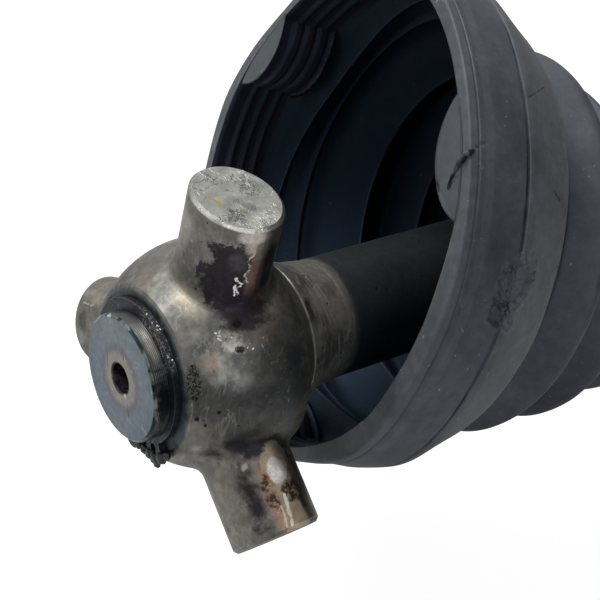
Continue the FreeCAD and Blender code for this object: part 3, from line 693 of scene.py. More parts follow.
@dataclass(frozen=True)
class BootRubber:
    """The boot's rubber: charcoal and satin outside with a grey bloom, dust and bands of painted shade and
    highlight; near-black inside as painted shade.
    """

    name: str
    side: Side = Side.OUTSIDE
    bloom: float = 1.0
    marks: tuple[Patch | Stroke | Scratches, ...] = ()

    def band(self, graph: Graph, start: float, stop: float, soft: float,
             ragged: float) -> bpy.types.NodeSocket:
        """A band across the mouth's axis, between two depths behind the lip in millimetres.

        Args:
            graph: the material's tree.
            start: the depth where it begins.
            stop: the depth where it ends.
            soft: how softly it fades at both.
            ragged: how far its edges wander.
        Returns:
            The band's mask.
        """
        return BAND.use(
            graph, Origin=LINE.point(0.0), Axis=LINE.inward, From=start * MM, To=stop * MM,
            Soft=soft * MM, Ragged=ragged * MM)

    def outside(self, surface: Surface) -> None:
        """Lay the tones of the outer face: lip, lip line and groove in painted shade, seat, shoulder, crest
        as a painted highlight, folds in painted shade; then dust.
        """
        graph, cover = surface.graph, surface.cover
        # Bands by depth behind the lip: start, stop, softness, raggedness, colour and share. The dark lip
        # line and groove bands are painted shade in their creases, the light crest band is a painted
        # highlight, and the dark band over the folds and neck is painted shade.
        bands = [
            (-2.0, 2.4, 0.3, 0.0, (0.062, 0.068, 0.076), 1.0),
            (2.20, 2.50, 0.20, 0.35, (0.022, 0.024, 0.031), 0.55),
            (3.4, 5.4, 0.5, 0.5, (0.066, 0.072, 0.082), 0.6),
            (13.7, 27.0, 0.3, 0.3, (0.078, 0.083, 0.092), 0.85),
            (13.1, 13.5, 0.25, 0.45, (0.016, 0.017, 0.021), 0.45),
            (25.2, 28.2, 1.6, 0.8, (0.112, 0.118, 0.126), 0.75),
            (28.6, 400.0, 2.5, 0.5, (0.017, 0.020, 0.029), 0.95),
        ]
        for start, stop, soft, ragged, colour, share in bands:
            surface.lay(graph.times(self.band(graph, start, stop, soft, ragged), share), colour)
        cover(BLOTCH, (0.104, 0.114, 0.130), 0.54, within=0.42, Scale=26.0, Low=0.36, High=0.66)
        cover(BLOTCH, (0.020, 0.021, 0.026), 0.44, within=0.55, Scale=60.0, Low=0.50, High=0.70,
              Shift=(0.4, 0.0, 0.0))
        cover(BLOTCH, None, 0.58, 0.000022, Scale=900.0, Rough=0.8, Low=0.3, High=0.8)
        cover(BLOTCH, (0.105, 0.108, 0.115), within=0.30, Scale=130.0, Low=0.48, High=0.74,
              Stretch=(1.0, 0.5, 0.5))
        cover(SCRATCH, (0.15, 0.155, 0.16), 0.55, -0.00001, 0.16, Scale=180.0, Width=0.012, Gate=0.56,
              Stretch=(1.0, 1.4, 0.5))

    def inside(self, surface: Surface) -> None:
        """Lay the tones of the inner face, with painted highlights on its ridges and a purple cast near the
        lip.
        """
        graph = surface.graph
        surface.cover(BLOTCH, (0.0065, 0.0128, 0.0190), 0.56, Scale=22.0, Low=0.4, High=0.7)
        surface.cover(BLOTCH, None, 0.66, 0.00001, Scale=420.0, Low=0.35, High=0.8)
        # Painted highlights on the inner ridges, lighter still near the lip.
        ridges = EDGE_WEAR_AND_GLINT.use(graph, Radius=0.0009, Ragged=0.05, Low=0.06)
        surface.lay(graph.times(ridges, 0.9), (0.036, 0.040, 0.056), 0.5)
        front = self.band(graph, -2.0, 13.0, 2.0, 0.5)
        surface.lay(front, (0.0115, 0.0105, 0.0185))
        surface.lay(graph.times(front, ridges), (0.036, 0.033, 0.050), 0.5)

    def pad_face(self, surface: Surface) -> None:
        """Lay the tones of the pads' faces."""
        surface.cover(BLOTCH, (0.038, 0.042, 0.047), 0.5, Scale=40.0, Low=0.4, High=0.7)
        surface.cover(BLOTCH, None, 0.56, 0.000018, Scale=900.0, Rough=0.8, Low=0.3, High=0.8)

    def pad_side(self, surface: Surface) -> None:
        """Lay painted highlights on the ridges of the pads' ribs."""
        surface.cover(EDGE_WEAR_AND_GLINT, (0.052, 0.048, 0.066), 0.5, within=0.8, Radius=0.0006, Ragged=0.08, Low=0.05)

    def material(self) -> bpy.types.Material:
        """Build the finish."""
        surface = Surface(self.name, self.side.base, 0.50, 0.0)
        {Side.OUTSIDE: self.outside, Side.INSIDE: self.inside, Side.PAD_SIDE: self.pad_side,
         Side.PAD_FACE: self.pad_face}[self.side](surface)
        surface.cover(PITS, (0.26, 0.27, 0.28), 0.7, 0.00002, 0.8 * self.bloom, Scale=620.0, Size=0.13,
                      Cover=0.13, Stretch=(1.0, 1.0, 0.5))
        surface.cover(PITS, (0.20, 0.21, 0.22), 0.7, within=0.55 * self.bloom, Scale=1300.0, Size=0.16,
                      Cover=0.16, Stretch=(0.5, 1.0, 1.0))
        surface.marks(self.marks)
        surface.mottle(0.22 if self.side is Side.OUTSIDE else 0.15, 380.0)
        return surface.finish(**self.side.sheen)


# ------------------------------------------------------------------ the boot's line and outline

@dataclass(frozen=True)
class BootLine:
    """The boot's centre line, which runs from the lip back to the neck round one bend. Millimetres."""

    pivot: float = -92.0
    reach: float = 61.5
    bend: float = math.radians(21.15)
    towards: float = math.radians(140.3)
    tangent: float = 12.4

    @property
    def lean(self) -> np.ndarray:
        """The side that the mouth leans to."""
        return np.array([0.0, math.cos(self.towards), math.sin(self.towards)])

    @property
    def inward(self) -> Point:
        """The way from the lip into the boot, along the mouth's axis."""
        front = np.array([math.cos(self.bend), 0.0, 0.0]) + math.sin(self.bend) * self.lean
        return tuple(float(-value) for value in front)

    @property
    def bend_from(self) -> float:
        """Depth behind the lip where the bend starts."""
        return self.reach - self.tangent

    @property
    def radius(self) -> float:
        """Radius of the bend."""
        return self.tangent / math.tan(self.bend / 2)

    @property
    def bend_to(self) -> float:
        """Depth behind the lip where the bend ends."""
        return self.bend_from + self.bend * self.radius

    def frames(self, depth: np.ndarray) -> tuple[np.ndarray, np.ndarray]:
        """Centres and slants of the boot's sections.

        Args:
            depth: depths behind the lip, along the line.
        Returns:
            The centres, and the angle between each section's axis and the bar's.
        """
        angle = np.clip((self.bend_to - depth) / self.radius, 0.0, self.bend)
        straight = np.maximum(self.bend_from - depth, 0.0)
        behind = np.maximum(depth - self.bend_to, 0.0)
        along = self.radius * np.sin(angle) + straight * np.cos(angle) - behind
        aside = self.radius * (1 - np.cos(angle)) + straight * np.sin(angle)
        centres = np.zeros(depth.shape + (3,))
        centres[..., 0] = self.pivot - self.tangent + along
        centres += aside[..., None] * self.lean
        return centres, angle

    def points(self, depth: np.ndarray, radius: np.ndarray, turn: np.ndarray) -> np.ndarray:
        """Points on the boot.

        Args:
            depth: depths behind the lip.
            radius: distances from the line.
            turn: angles round the line, from +Y towards +Z, in radians.
        Returns:
            The points, in millimetres.
        """
        centres, angle = self.frames(depth)
        side = np.stack([np.zeros_like(turn), np.cos(turn), np.sin(turn)], axis=-1) * radius[..., None]
        axis = np.cross([1.0, 0.0, 0.0], self.lean)
        cos, sin = np.cos(angle)[..., None], np.sin(angle)[..., None]
        swung = side * cos + np.cross(axis, side) * sin + axis * (side @ axis)[..., None] * (1 - cos)
        return centres + swung

    def spot(self, depth: float, radius: float, turn: float) -> Point:
        """One point on the boot, in millimetres; turn in degrees."""
        where = self.points(np.array(depth), np.array(radius), np.array(math.radians(turn)))
        return tuple(float(value) for value in where)

    def point(self, depth: float) -> Point:
        """The point of the line itself at this depth, in metres."""
        return scaled(self.spot(depth, 0.0, 0.0))


LINE = BootLine()


def rounded(corners: list[tuple[float, float, float]], step: float) -> np.ndarray:
    """An outline through corners, each rounded by its own radius.

    Args:
        corners: depth, radius from the line, and rounding.
        step: the longest run between two points.
    Returns:
        The outline's points, depth and radius.
    """
    points = [np.array(corner[:2]) for corner in corners]
    path: list[np.ndarray] = [points[0]]
    for number in range(1, len(points) - 1):
        here, rounding = points[number], corners[number][2]
        back, ahead = points[number - 1] - here, points[number + 1] - here
        reach = min(rounding, 0.48 * np.linalg.norm(back), 0.48 * np.linalg.norm(ahead))
        start = here + back / np.linalg.norm(back) * reach
        stop = here + ahead / np.linalg.norm(ahead) * reach
        for share in np.linspace(0.0, 1.0, 7):
            path.append((1 - share) ** 2 * start + 2 * share * (1 - share) * here + share ** 2 * stop)
    path.append(points[-1])
    fine: list[np.ndarray] = [path[0]]
    for here in path[1:]:
        gap = float(np.linalg.norm(here - fine[-1]))
        if gap < 1e-6:
            continue
        parts = max(1, math.ceil(gap / step))
        start = fine[-1]
        fine += [start + (here - start) * part / parts for part in range(1, parts + 1)]
    return np.array(fine)


def periodic(turn: np.ndarray, table: list[tuple[float, float]]) -> np.ndarray:
    """A smooth value round a circle from a table of degrees and values."""
    degrees = np.array([row[0] for row in table])
    values = np.array([row[1] for row in table])
    wide = np.concatenate([degrees - 360, degrees, degrees + 360])
    high = np.concatenate([values, values, values])
    where = np.degrees(turn) % 360
    rough = sum(np.interp(where + shift, wide, high) for shift in (-5.0, -2.5, 0.0, 2.5, 5.0))
    return rough / 5


LIP_OUTER = [
    (3.5, 54.1), (12.6, 54.2), (20.6, 53.9), (28.3, 53.8), (37.7, 53.4), (47.3, 53.2), (57.6, 53.1),
    (68.6, 53.6), (85.0, 54.8), (106.8, 54.8), (130.0, 53.0), (150.0, 51.4), (158.3, 51.2), (163.0, 51.6),
    (167.7, 52.2), (172.6, 53.1), (176.4, 53.6), (182.1, 54.6), (187.3, 55.0), (193.3, 55.2), (198.6, 55.1),
    (204.7, 54.8), (226.8, 54.2), (250.0, 53.2), (286.8, 52.4), (304.0, 52.0), (320.6, 52.4), (325.5, 53.4),
    (330.4, 54.2), (335.9, 54.9), (349.2, 54.9), (355.8, 54.3),]
LIP_INNER = [
    (0.0, 49.2), (10.0, 49.3), (23.0, 49.6), (35.0, 50.2), (61.0, 50.3), (70.0, 50.7), (85.0, 51.3),
    (106.8, 50.4), (130.0, 49.6), (150.0, 48.6), (166.8, 48.9), (182.0, 50.2), (198.0, 50.6), (226.8, 49.9),
    (250.0, 49.6), (286.8, 49.2), (304.0, 48.8), (320.6, 48.9), (335.9, 49.6), (348.0, 49.8),]


def hash_wave(points: np.ndarray, scale: float, seed: float) -> np.ndarray:
    """Smooth seeded noise at each point, about -1 to 1."""
    flat = points.reshape(-1, 3) * scale + seed
    values = np.array([noise.noise(Vector(row)) for row in flat])
    return values.reshape(points.shape[:-1])

@dataclass(frozen=True)
class Gash:
    """A tear in the rubber along a broken line, with raised lips. Millimetres."""

    path: tuple[Point, ...]
    wide: float
    deep: float
    lip: float

    def shift(self, points: np.ndarray, ragged: np.ndarray) -> np.ndarray:
        """How far the tear moves each point out, and in where it is open.

        Args:
            points: places on the rubber.
            ragged: noise that breaks up the tear's edges.
        Returns:
            The move along the surface's normal.
        """
        nearest = np.full(points.shape[:-1], 1e9)
        share_at = np.zeros(points.shape[:-1])
        count = len(self.path) - 1
        for number in range(count):
            start, end = np.array(self.path[number]), np.array(self.path[number + 1])
            run = end - start
            share = np.clip(((points - start) @ run) / (run @ run), 0.0, 1.0)
            far = np.linalg.norm(points - start - share[..., None] * run, axis=-1)
            closer = far < nearest
            nearest = np.where(closer, far, nearest)
            share_at = np.where(closer, (number + share) / count, share_at)
        taper = np.clip(np.sin(np.pi * np.clip(share_at, 0.04, 0.96)) * 1.25, 0.0, 1.0)
        wide = self.wide * taper * (1 + 0.55 * ragged)
        inside = np.clip(1.0 - nearest / np.maximum(wide, 0.05), 0.0, 1.0)
        edge = np.exp(-((nearest - wide * 1.2) / (0.5 * self.wide)) ** 2) * (0.4 + 1.4 * ragged)
        return self.lip * np.maximum(edge, 0.0) * (inside <= 0) - self.deep * np.sqrt(inside)

    def strokes(self) -> tuple[Scratches, ...]:
        """The tear's inside in black as painted shade, and the pale torn bits along it lit as painted
        highlights.
        """
        rng = random.Random(7)
        black, pale = (0.002, 0.002, 0.003), (0.150, 0.155, 0.160)
        # Black strokes down the tear are painted shade; the pale bits are torn edges lit as painted
        # highlights.
        dark = [
            Stroke(start, end, self.wide * 1.25, black, 1.0, 0.9, 500.0)
            for start, end in zip(self.path, self.path[1:])]
        bits = []
        for _ in range(11):
            start = np.array(self.path[rng.randrange(len(self.path) - 1)])
            here = start + np.array([rng.uniform(-0.9, 0.9) for _ in range(3)])
            there = here + np.array([rng.uniform(-0.8, 0.8) for _ in range(3)])
            bits.append(Stroke(
                tuple(map(float, here)), tuple(map(float, there)), rng.uniform(0.12, 0.2), pale, 0.5, 0.3,
                900.0))
        return Scratches(tuple(bits), pale, 0.5, 0.15), Scratches(tuple(dark), black, 1.0)


@dataclass(frozen=True)
class Scab:
    """A patch where the skin is lifted and crumbled. Depth behind the lip, turn in degrees."""

    depth: float
    turn: float
    half_depth: float
    half_turn: float
    skew: float
    high: float
    crumbly: float

    def distance(self, depth: np.ndarray, turn: np.ndarray) -> tuple[np.ndarray, np.ndarray]:
        """How far each point is from the patch's middle, where 1 is its edge, and how far down it."""
        down = (depth - self.depth) / self.half_depth
        round_by = (turn - self.turn) / self.half_turn
        return np.hypot(down + self.skew * round_by, round_by), down

    def cover(self, depth: np.ndarray, turn: np.ndarray) -> np.ndarray:
        """How much of each point the patch covers."""
        return np.clip((1.25 - self.distance(depth, turn)[0]) / 0.2, 0.0, 1.0)

    def shift(self, depth: np.ndarray, turn: np.ndarray, ragged: np.ndarray, fine: np.ndarray) -> np.ndarray:
        """How far the patch lifts each point."""
        far, down = self.distance(depth, turn)
        far = far + 0.35 * ragged
        rise = np.clip((1.0 - far) / 0.18, 0.0, 1.0)
        rim = np.exp(-((far - 0.92) / 0.16) ** 2)
        dent = np.exp(-((far - 1.2) / 0.10) ** 2)
        return self.high * (rise * (0.55 + self.crumbly * fine) + 0.5 * rim * (1 - down * 0.5) - 0.4 * dent)


TEAR = Gash(
    tuple(LINE.spot(*place) for place in (
        (5.4, 53.8, 51.0), (3.9, 53.7, 49.9), (2.4, 53.8, 48.4), (1.0, 53.8, 47.6), (0.0, 53.2, 46.9),
        (0.0, 52.1, 46.5), (0.0, 50.7, 45.4), (0.0, 49.9, 44.7), (0.0, 49.1, 43.2), (0.0, 48.0, 42.1),
        (0.0, 47.4, 40.6))),
    wide=0.55, deep=1.10, lip=0.45)
SCABS = (
    Scab(depth=14.2, turn=23.6, half_depth=3.6, half_turn=5.0, skew=-0.35, high=0.75, crumbly=0.25),
    Scab(depth=12.7, turn=17.2, half_depth=2.4, half_turn=2.6, skew=0.25, high=0.80, crumbly=0.75),
)


class Mesh:
    """Vertices, faces and material numbers of one piece while it is being made."""

    def __init__(self) -> None:
        """Start with nothing."""
        self.points: list[np.ndarray] = []
        self.faces: list[tuple[int, ...]] = []
        self.skins: list[int] = []
        self.count = 0

    def sheet(self, grid: np.ndarray, skins: np.ndarray | int = 0, closed: bool = True) -> None:
        """Add a grid of points as a sheet of quads.

        Args:
            grid: rows of points, in millimetres; each row goes once round.
            skins: the material number of each strip between rows.
            closed: whether a row joins its own start.
        """
        rows, cols = grid.shape[:2]
        first = self.count
        self.points.append(grid.reshape(-1, 3))
        self.count += rows * cols
        for row in range(rows - 1):
            skin = int(skins if isinstance(skins, int) else skins[row])
            for col in range(cols if closed else cols - 1):
                near, far = col, (col + 1) % cols
                start = first + row * cols
                self.faces.append((start + near, start + far, start + cols + far, start + cols + near))
                self.skins.append(skin)

    def shell(self, grid: np.ndarray, outside: int) -> None:
        """Add a closed shell as the mesh's only sheet.

        Args:
            grid: rows of points, in millimetres: the outside's, then the inside's back to the start.
            outside: how many of the rows are the outside's.
        """
        rows, cols = grid.shape[:2]
        self.sheet(grid, (np.arange(rows) >= outside - 1).astype(int))
        last = (rows - 1) * cols
        for col in range(cols):
            following = (col + 1) % cols
            self.faces.append((last + col, last + following, following, col))
            self.skins.append(1)

    def build(self, name: str, materials: list[bpy.types.Material]) -> bpy.types.Object:
        """Make the piece.

        Args:
            name: the piece's name.
            materials: its materials, in the order of the skin numbers.
        Returns:
            The new object.
        """
        mesh = bpy.data.meshes.new(name)
        mesh.from_pydata((np.concatenate(self.points) * MM).tolist(), [], self.faces)
        for material in materials:
            mesh.materials.append(material)
        mesh.polygons.foreach_set("material_index", self.skins)
        mesh.polygons.foreach_set("use_smooth", [True] * len(self.faces))
        mesh.update()
        piece = bpy.data.objects.new(name, mesh)
        bpy.context.collection.objects.link(piece)
        return piece


# ------------------------------------------------------------------ the boot

@dataclass
class Boot:
    """The bellows boot: mouth, pads, three stretches of folds and the neck.

    Sizes are in millimetres and turns in degrees. The ribs and the hump are inside the mouth. The groove
    behind the seat is cut full depth at sharp_turn and less within sharp_reach of it. Each damaged stretch
    is its first turn, its last turn and the finer step between its points.
    """

    lip_radius: float = 53.8
    mouth_radius: float = 50.0
    seat_width: float = 13.2
    shoulder_reach: float = 28.0
    shoulder_top: float = 47.3
    collar_depth: float = 35.8
    collar_valley: float = 38.0
    wall: float = 2.2
    peak_start: float = 43.4
    peak_radius: float = 42.8
    peak_taper: float = 0.356
    fold_depth: float = 6.5
    fold_pitch: float = 12.4
    neck_front: float = -131.0
    neck_length: float = 21.0
    bar_radius: float = 12.55
    neck_wall: float = 3.4
    neck_rim: float = 1.2
    rim_width: float = 3.5
    pad_radius: float = 13.4
    pad_ring: float = 43.6
    pad_depth: float = 13.0
    pad_turn: float = 46.8
    rib_from: float = 3.1
    rib_pitch: float = 3.2
    rib_high: float = 0.75
    hump_depth: float = 18.5
    hump_reach: float = 4.2
    hump_high: float = 3.4
    groove_reach: float = 0.9
    sharp_turn: float = 45.0
    sharp_reach: float = 15.0
    damaged: tuple[tuple[float, float, float], ...] = ((10.0, 32.0, 0.26), (38.0, 54.0, 0.2))
    outer: bpy.types.Material = field(init=False)
    inner: bpy.types.Material = field(init=False)
    pad_skin: bpy.types.Material = field(init=False)
    pad_side: bpy.types.Material = field(init=False)

    def dress(self) -> None:
        """Make the boot's finishes."""
        self.outer = BootRubber("boot_rubber", marks=(*self.nicks(), *TEAR.strokes())).material()
        # The inside and the pads' ribbed sides are shaded copies of the rubber, darker as painted shade.
        self.inner = BootRubber("boot_rubber_inside", Side.INSIDE, 0.15).material()
        self.pad_skin = BootRubber("pad_rubber", Side.PAD_FACE, 0.5, TEAR.strokes()).material()
        self.pad_side = BootRubber("pad_rib_rubber", Side.PAD_SIDE, 0.2).material()

    def nicks(self) -> list[Stroke]:
        """Short cuts and scores in the outside of the rubber, with painted shadow along the scabs' raised
        edges, painted shade and highlight along the groove, and torn bits lit as painted highlights.
        """
        black = (0.010, 0.011, 0.014)
        rows = [
            ((9.2, 53.8, 42.6), (10.2, 53.8, 40.9), 0.28, black, -0.25),
            ((22.0, 50.1, 43.6), (24.2, 49.2, 42.4), 0.30, black, -0.3),
            ((14.6, 53.3, 61.5), (21.6, 50.4, 67.6), 0.42, (0.040, 0.036, 0.034), -0.12),
            ((5.0, 53.8, 344.6), (11.2, 53.7, 347.3), 0.20, (0.016, 0.017, 0.020), -0.2),
            ((5.1, 53.8, 13.6), (5.7, 53.8, 12.9), 0.45, (0.16, 0.165, 0.17), 0.2),
            # Painted shadow along the scabs' raised left edges.
            ((11.9, 53.8, 25.6), (11.0, 54.0, 23.4), 0.34, black, -0.2),
            ((11.0, 54.0, 23.4), (11.0, 54.0, 20.9), 0.40, black, -0.2),
            ((10.6, 54.0, 19.6), (10.8, 54.0, 17.4), 0.36, black, -0.2),
            ((10.8, 54.0, 17.4), (12.2, 54.0, 15.8), 0.36, black, -0.2),
            ((12.6, 54.2, 18.6), (13.0, 54.2, 16.8), 0.90, (0.024, 0.013, 0.012), 0.0),
            ((13.9, 53.6, 19.0), (13.6, 53.6, 15.6), 0.40, (0.020, 0.014, 0.014), 0.0),
            # Painted shade in the groove behind the seat, then a painted highlight along its far edge.
            ((13.3, 52.8, 33.0), (13.3, 52.8, 41.0), 0.36, black, 0.0),
            ((13.3, 52.8, 41.0), (13.3, 52.8, 49.0), 0.42, black, 0.0),
            ((13.3, 52.8, 49.0), (13.3, 52.8, 57.0), 0.32, black, 0.0),
            ((14.0, 53.8, 41.0), (14.0, 53.8, 48.0), 0.34, (0.30, 0.31, 0.32), 0.1),
            ((14.0, 53.8, 48.0), (14.0, 53.8, 54.5), 0.24, (0.20, 0.21, 0.22), 0.1),
            ((15.4, 53.4, 25.4), (17.0, 52.8, 24.0), 0.22, (0.19, 0.195, 0.20), 0.1),
            ((13.2, 53.8, 26.6), (15.0, 53.8, 26.9), 0.20, (0.17, 0.175, 0.18), 0.1),
            ((12.2, 53.8, 21.6), (13.6, 53.8, 22.6), 0.18, (0.15, 0.155, 0.16), 0.1),
            ((12.0, 53.8, 18.4), (13.2, 53.8, 18.9), 0.22, (0.20, 0.205, 0.21), 0.1),
            ((11.6, 53.8, 17.0), (12.4, 53.8, 16.4), 0.20, (0.17, 0.175, 0.18), 0.1),
            # Raised torn bits above the tear, lit as painted highlights.
            ((4.2, 53.8, 52.2), (5.8, 53.8, 50.9), 0.16, (0.15, 0.155, 0.16), 0.1),
            ((3.4, 53.8, 53.6), (4.9, 53.8, 53.0), 0.14, (0.14, 0.145, 0.15), 0.1),
            ((5.2, 53.8, 54.6), (6.6, 53.8, 55.3), 0.14, (0.14, 0.145, 0.15), 0.1),
        ]
        return [
            Stroke(LINE.spot(*start), LINE.spot(*end), width, colour, 0.6, 0.25, 900.0, 1.0, height)
            for start, end, width, colour, height in rows]

    @property
    def neck_from(self) -> float:
        """Depth behind the lip where the neck starts."""
        return LINE.bend_to + (LINE.pivot - LINE.tangent - self.neck_front)

    def peak(self, depth: float) -> float:
        """Outer radius of a crest at this depth."""
        return self.peak_radius - self.peak_taper * (depth - self.peak_start)

    def mouth_outline(self) -> tuple[np.ndarray, np.ndarray]:
        """The mouth's outside from the lip to its valley, and its inside back to the lip."""
        lip, seat = self.lip_radius, self.seat_width
        outer = rounded([
            (0.0, self.mouth_radius, 0.0), (0.0, lip - 0.9, 0.3), (0.25, lip - 0.1, 0.4),
            (1.9, lip + 0.05, 0.4), (2.3, lip - 0.35, 0.15), (2.55, lip - 0.05, 0.3),
            (seat - 0.35, lip - 0.1, 0.15), (seat, lip - 1.05, 0.12), (seat + 0.35, lip - 1.0, 0.12),
            (seat + 0.6, lip - 0.1, 0.22),
            (seat + 2.2, lip - 0.25, 0.8), (self.shoulder_reach - 2.2, self.shoulder_top + 1.25, 1.2),
            (self.shoulder_reach, self.shoulder_top + 0.15, 1.6),
            (self.shoulder_reach + 1.3, self.shoulder_top - 2.0, 1.2),
            (self.collar_depth - 1.0, self.collar_valley + 0.9, 1.6),
            (self.collar_depth, self.collar_valley, 0.0)], 0.4)
        inside = [(self.collar_depth, self.collar_valley - self.wall, 0.0),
                  (self.collar_depth - 1.2, self.collar_valley - self.wall + 1.3, 1.5),
                  (self.shoulder_reach - 0.6, self.shoulder_top - 3.2, 2.5), (24.2, 44.9, 0.5),
                  (23.4, 44.2, 0.4), (22.4, 45.4, 1.0), (18.6, 46.0, 0.5), (17.5, 44.8, 0.4),
                  (16.4, 46.8, 1.0), (15.0, self.mouth_radius - 0.7, 1.0), (13.2, self.mouth_radius, 0.5)]
        for number in (2, 1, 0):
            start = self.rib_from + self.rib_pitch * number
            for behind, proud in ((1.9, 0.0), (1.5, self.rib_high), (0.6, self.rib_high), (0.2, 0.0)):
                inside.append((start + behind, self.mouth_radius - proud, 0.4))
        inside += [(0.7, self.mouth_radius, 0.6), (0.0, self.mouth_radius + 0.5, 0.0)]
        outer[0, 1] += 0.5
        return outer, rounded(inside, 0.6)

    def damaged_turns(self) -> np.ndarray:
        """Angles round the mouth, in radians, closer together where the rubber is damaged."""
        plain = np.arange(0.0, 360.0, 1.0)
        for first, last, _ in self.damaged:
            plain = plain[(plain < first) | (plain > last)]
        close = [np.arange(*stretch) for stretch in self.damaged]
        return np.radians(np.sort(np.concatenate([plain, *close])))

    @staticmethod
    def plain_turns() -> np.ndarray:
        """Even angles round the boot, in radians."""
        return np.radians(np.arange(0.0, 360.0, 1.5))

    @staticmethod
    def sweep(outline: np.ndarray, turn: np.ndarray) -> tuple[np.ndarray, np.ndarray, np.ndarray]:
        """An outline taken round the boot.

        Args:
            outline: its points, depth and radius.
            turn: the angles it is taken to, in radians.
        Returns:
            Depth, radius and angle at every point.
        """
        depth = np.repeat(outline[:, :1], len(turn), axis=1)
        radius = np.repeat(outline[:, 1:], len(turn), axis=1)
        return depth, radius, np.repeat(turn[None, :], len(outline), axis=0)

    def lobes(self, turn: np.ndarray) -> np.ndarray:
        """A wave round the boot that is 1 at each pad and -1 between them."""
        return np.cos(3 * (turn - math.radians(self.pad_turn)))

    def build_mouth(self) -> bpy.types.Object:
        """The lip, clamp seat, shoulder and first fold, torn and scuffed as it is."""
        outer, inner = self.mouth_outline()
        outline = np.concatenate([outer, inner])
        depth, radius, spread = self.sweep(outline, self.damaged_turns())
        behind = np.clip((depth - 8.0) / 20.0, 0.0, 1.0)
        fade = 1 - behind ** 2 * (3 - 2 * behind)
        share = np.clip((radius - self.mouth_radius) / (self.lip_radius - self.mouth_radius), 0.0, 1.0)
        share[: len(outer)] = np.where(depth[: len(outer)] > 0.6, 1.0, share[: len(outer)])
        share[len(outer):] = 0.0
        out_by = periodic(spread, LIP_OUTER) - self.lip_radius
        in_by = periodic(spread, LIP_INNER) - self.mouth_radius
        radius = radius + fade * (share * out_by + (1 - share) * in_by)
        hump = np.exp(-((depth - self.hump_depth) / self.hump_reach) ** 2)
        inside = np.zeros_like(depth)
        inside[len(outer):] = 1.0
        radius = radius - inside * hump * self.hump_high * self.lobes(spread)
        degrees = np.degrees(spread)
        on_seat = ((depth > 5.0) & (inside < 0.5)).astype(float)
        level = self.lip_radius - 0.15 + fade * out_by
        in_groove = on_seat * (np.abs(depth - self.seat_width - 0.2) < self.groove_reach)
        in_groove = in_groove * np.clip(level - radius, 0.0, 1.2)
        fill = 0.55 * (1 - np.exp(-((degrees - self.sharp_turn) / self.sharp_reach) ** 2))
        for scab in SCABS:
            fill = np.maximum(fill, scab.cover(depth, degrees))
        radius = radius + in_groove * fill
        points = LINE.points(depth, radius, spread)
        ragged = hash_wave(points, 0.9, 11.0)
        fine = hash_wave(points, 2.3, 5.0)
        slow = hash_wave(points, 0.07, 3.0)
        along = np.gradient(points, axis=0)
        round_by = np.roll(points, -1, axis=1) - np.roll(points, 1, axis=1)
        normal = np.cross(round_by, along)
        normal /= np.maximum(np.linalg.norm(normal, axis=-1, keepdims=True), 1e-9)
        shift = TEAR.shift(points, ragged) + 0.22 * slow
        for scab in SCABS:
            shift += on_seat * scab.shift(depth, degrees, ragged, 0.5 + fine)
        points = points + normal * shift[..., None]
        mesh = Mesh()
        mesh.shell(points, len(outer))
        return mesh.build("boot_mouth_lip", [self.outer, self.inner])

    def build_pads(self) -> bpy.types.Object:
        """The three lens pads in the mouth, flush with the lip and ribbed round their curved side."""
        mesh = Mesh()
        corners = [(0.0, -0.8, 0.0), (0.0, 0.0, 0.7), (2.6, 0.0, 0.4)]
        for start in (3.3, 6.5, 9.7):
            corners += [(start, -0.7, 0.4), (start + 1.6, -0.7, 0.4), (start + 2.3, 0.0, 0.4)]
        ribs = rounded([*corners, (self.pad_depth, -0.5, 0.5), (self.pad_depth, -1.4, 0.0)], 0.35)
        for lobe in range(3):
            centre_turn = self.pad_turn + 120.0 * lobe
            limit = float(periodic(np.array(math.radians(centre_turn)), LIP_INNER)) + 0.7
            centre = self.pad_ring + self.pad_radius
            reach = (centre ** 2 + self.pad_radius ** 2 - limit ** 2) / (2 * centre * self.pad_radius)
            sweep = np.linspace(-math.acos(reach), math.acos(reach), 97)
            across = centre - self.pad_radius * np.cos(sweep)
            arc = np.stack([across, self.pad_radius * np.sin(sweep)], axis=-1)
            wall = np.stack([np.sqrt(limit ** 2 - arc[:, 1] ** 2), arc[:, 1]], axis=-1)
            inward = np.stack([np.cos(sweep), -np.sin(sweep)], axis=-1)
            path = [(0.0, wall * share + arc * (1 - share)) for share in np.linspace(1.0, 0.06, 26)]
            face_rows = len(path)
            path += [(float(depth), arc + inward * grow) for depth, grow in ribs]
            path.append((self.pad_depth, wall))
            flats = np.array([flat for depth, flat in path])
            depths = np.repeat(np.array([depth for depth, flat in path])[:, None], len(sweep), axis=1)
            radius = np.hypot(flats[..., 0], flats[..., 1])
            turn = math.radians(centre_turn) + np.arctan2(flats[..., 1], flats[..., 0])
            points = LINE.points(depths, radius, turn)
            ragged = hash_wave(points, 0.9, 11.0)
            opened = TEAR.shift(points, ragged) + 0.12 * hash_wave(points, 0.12, 8.0)
            back = np.array(LINE.point(-1.0)) - np.array(LINE.point(0.0))
            points = points + (back / np.linalg.norm(back)) * opened[..., None] * (depths < 1.0)[..., None]
            mesh.sheet(points, np.where(np.arange(len(path)) < face_rows, 0, 1), closed=False)
        return mesh.build("boot_lip_pads", [self.pad_skin, self.pad_side])

    def folds(self, start: float, stop: float, crest: float, pitch: float, first: float,
              last: float) -> np.ndarray:
        """The outside of a stretch of folds, crests rounded.

        Args:
            start: depth where the stretch starts.
            stop: depth where it ends.
            crest: depth of its first crest.
            pitch: distance between crests.
            first: outer radius at its start.
            last: outer radius at its end.
        Returns:
            The outline's points, depth and radius.
        """
        corners = [(start, first, 0.0)]
        while crest < stop - 1.0:
            corners.append((crest, self.peak(crest) + 0.9, 2.6))
            valley = crest + pitch / 2
            if valley < stop - 1.0:
                corners.append((valley, self.peak(valley) - self.fold_depth, 2.2))
            crest += pitch
        corners.append((stop, last, 0.0))
        return rounded(corners, 0.7)

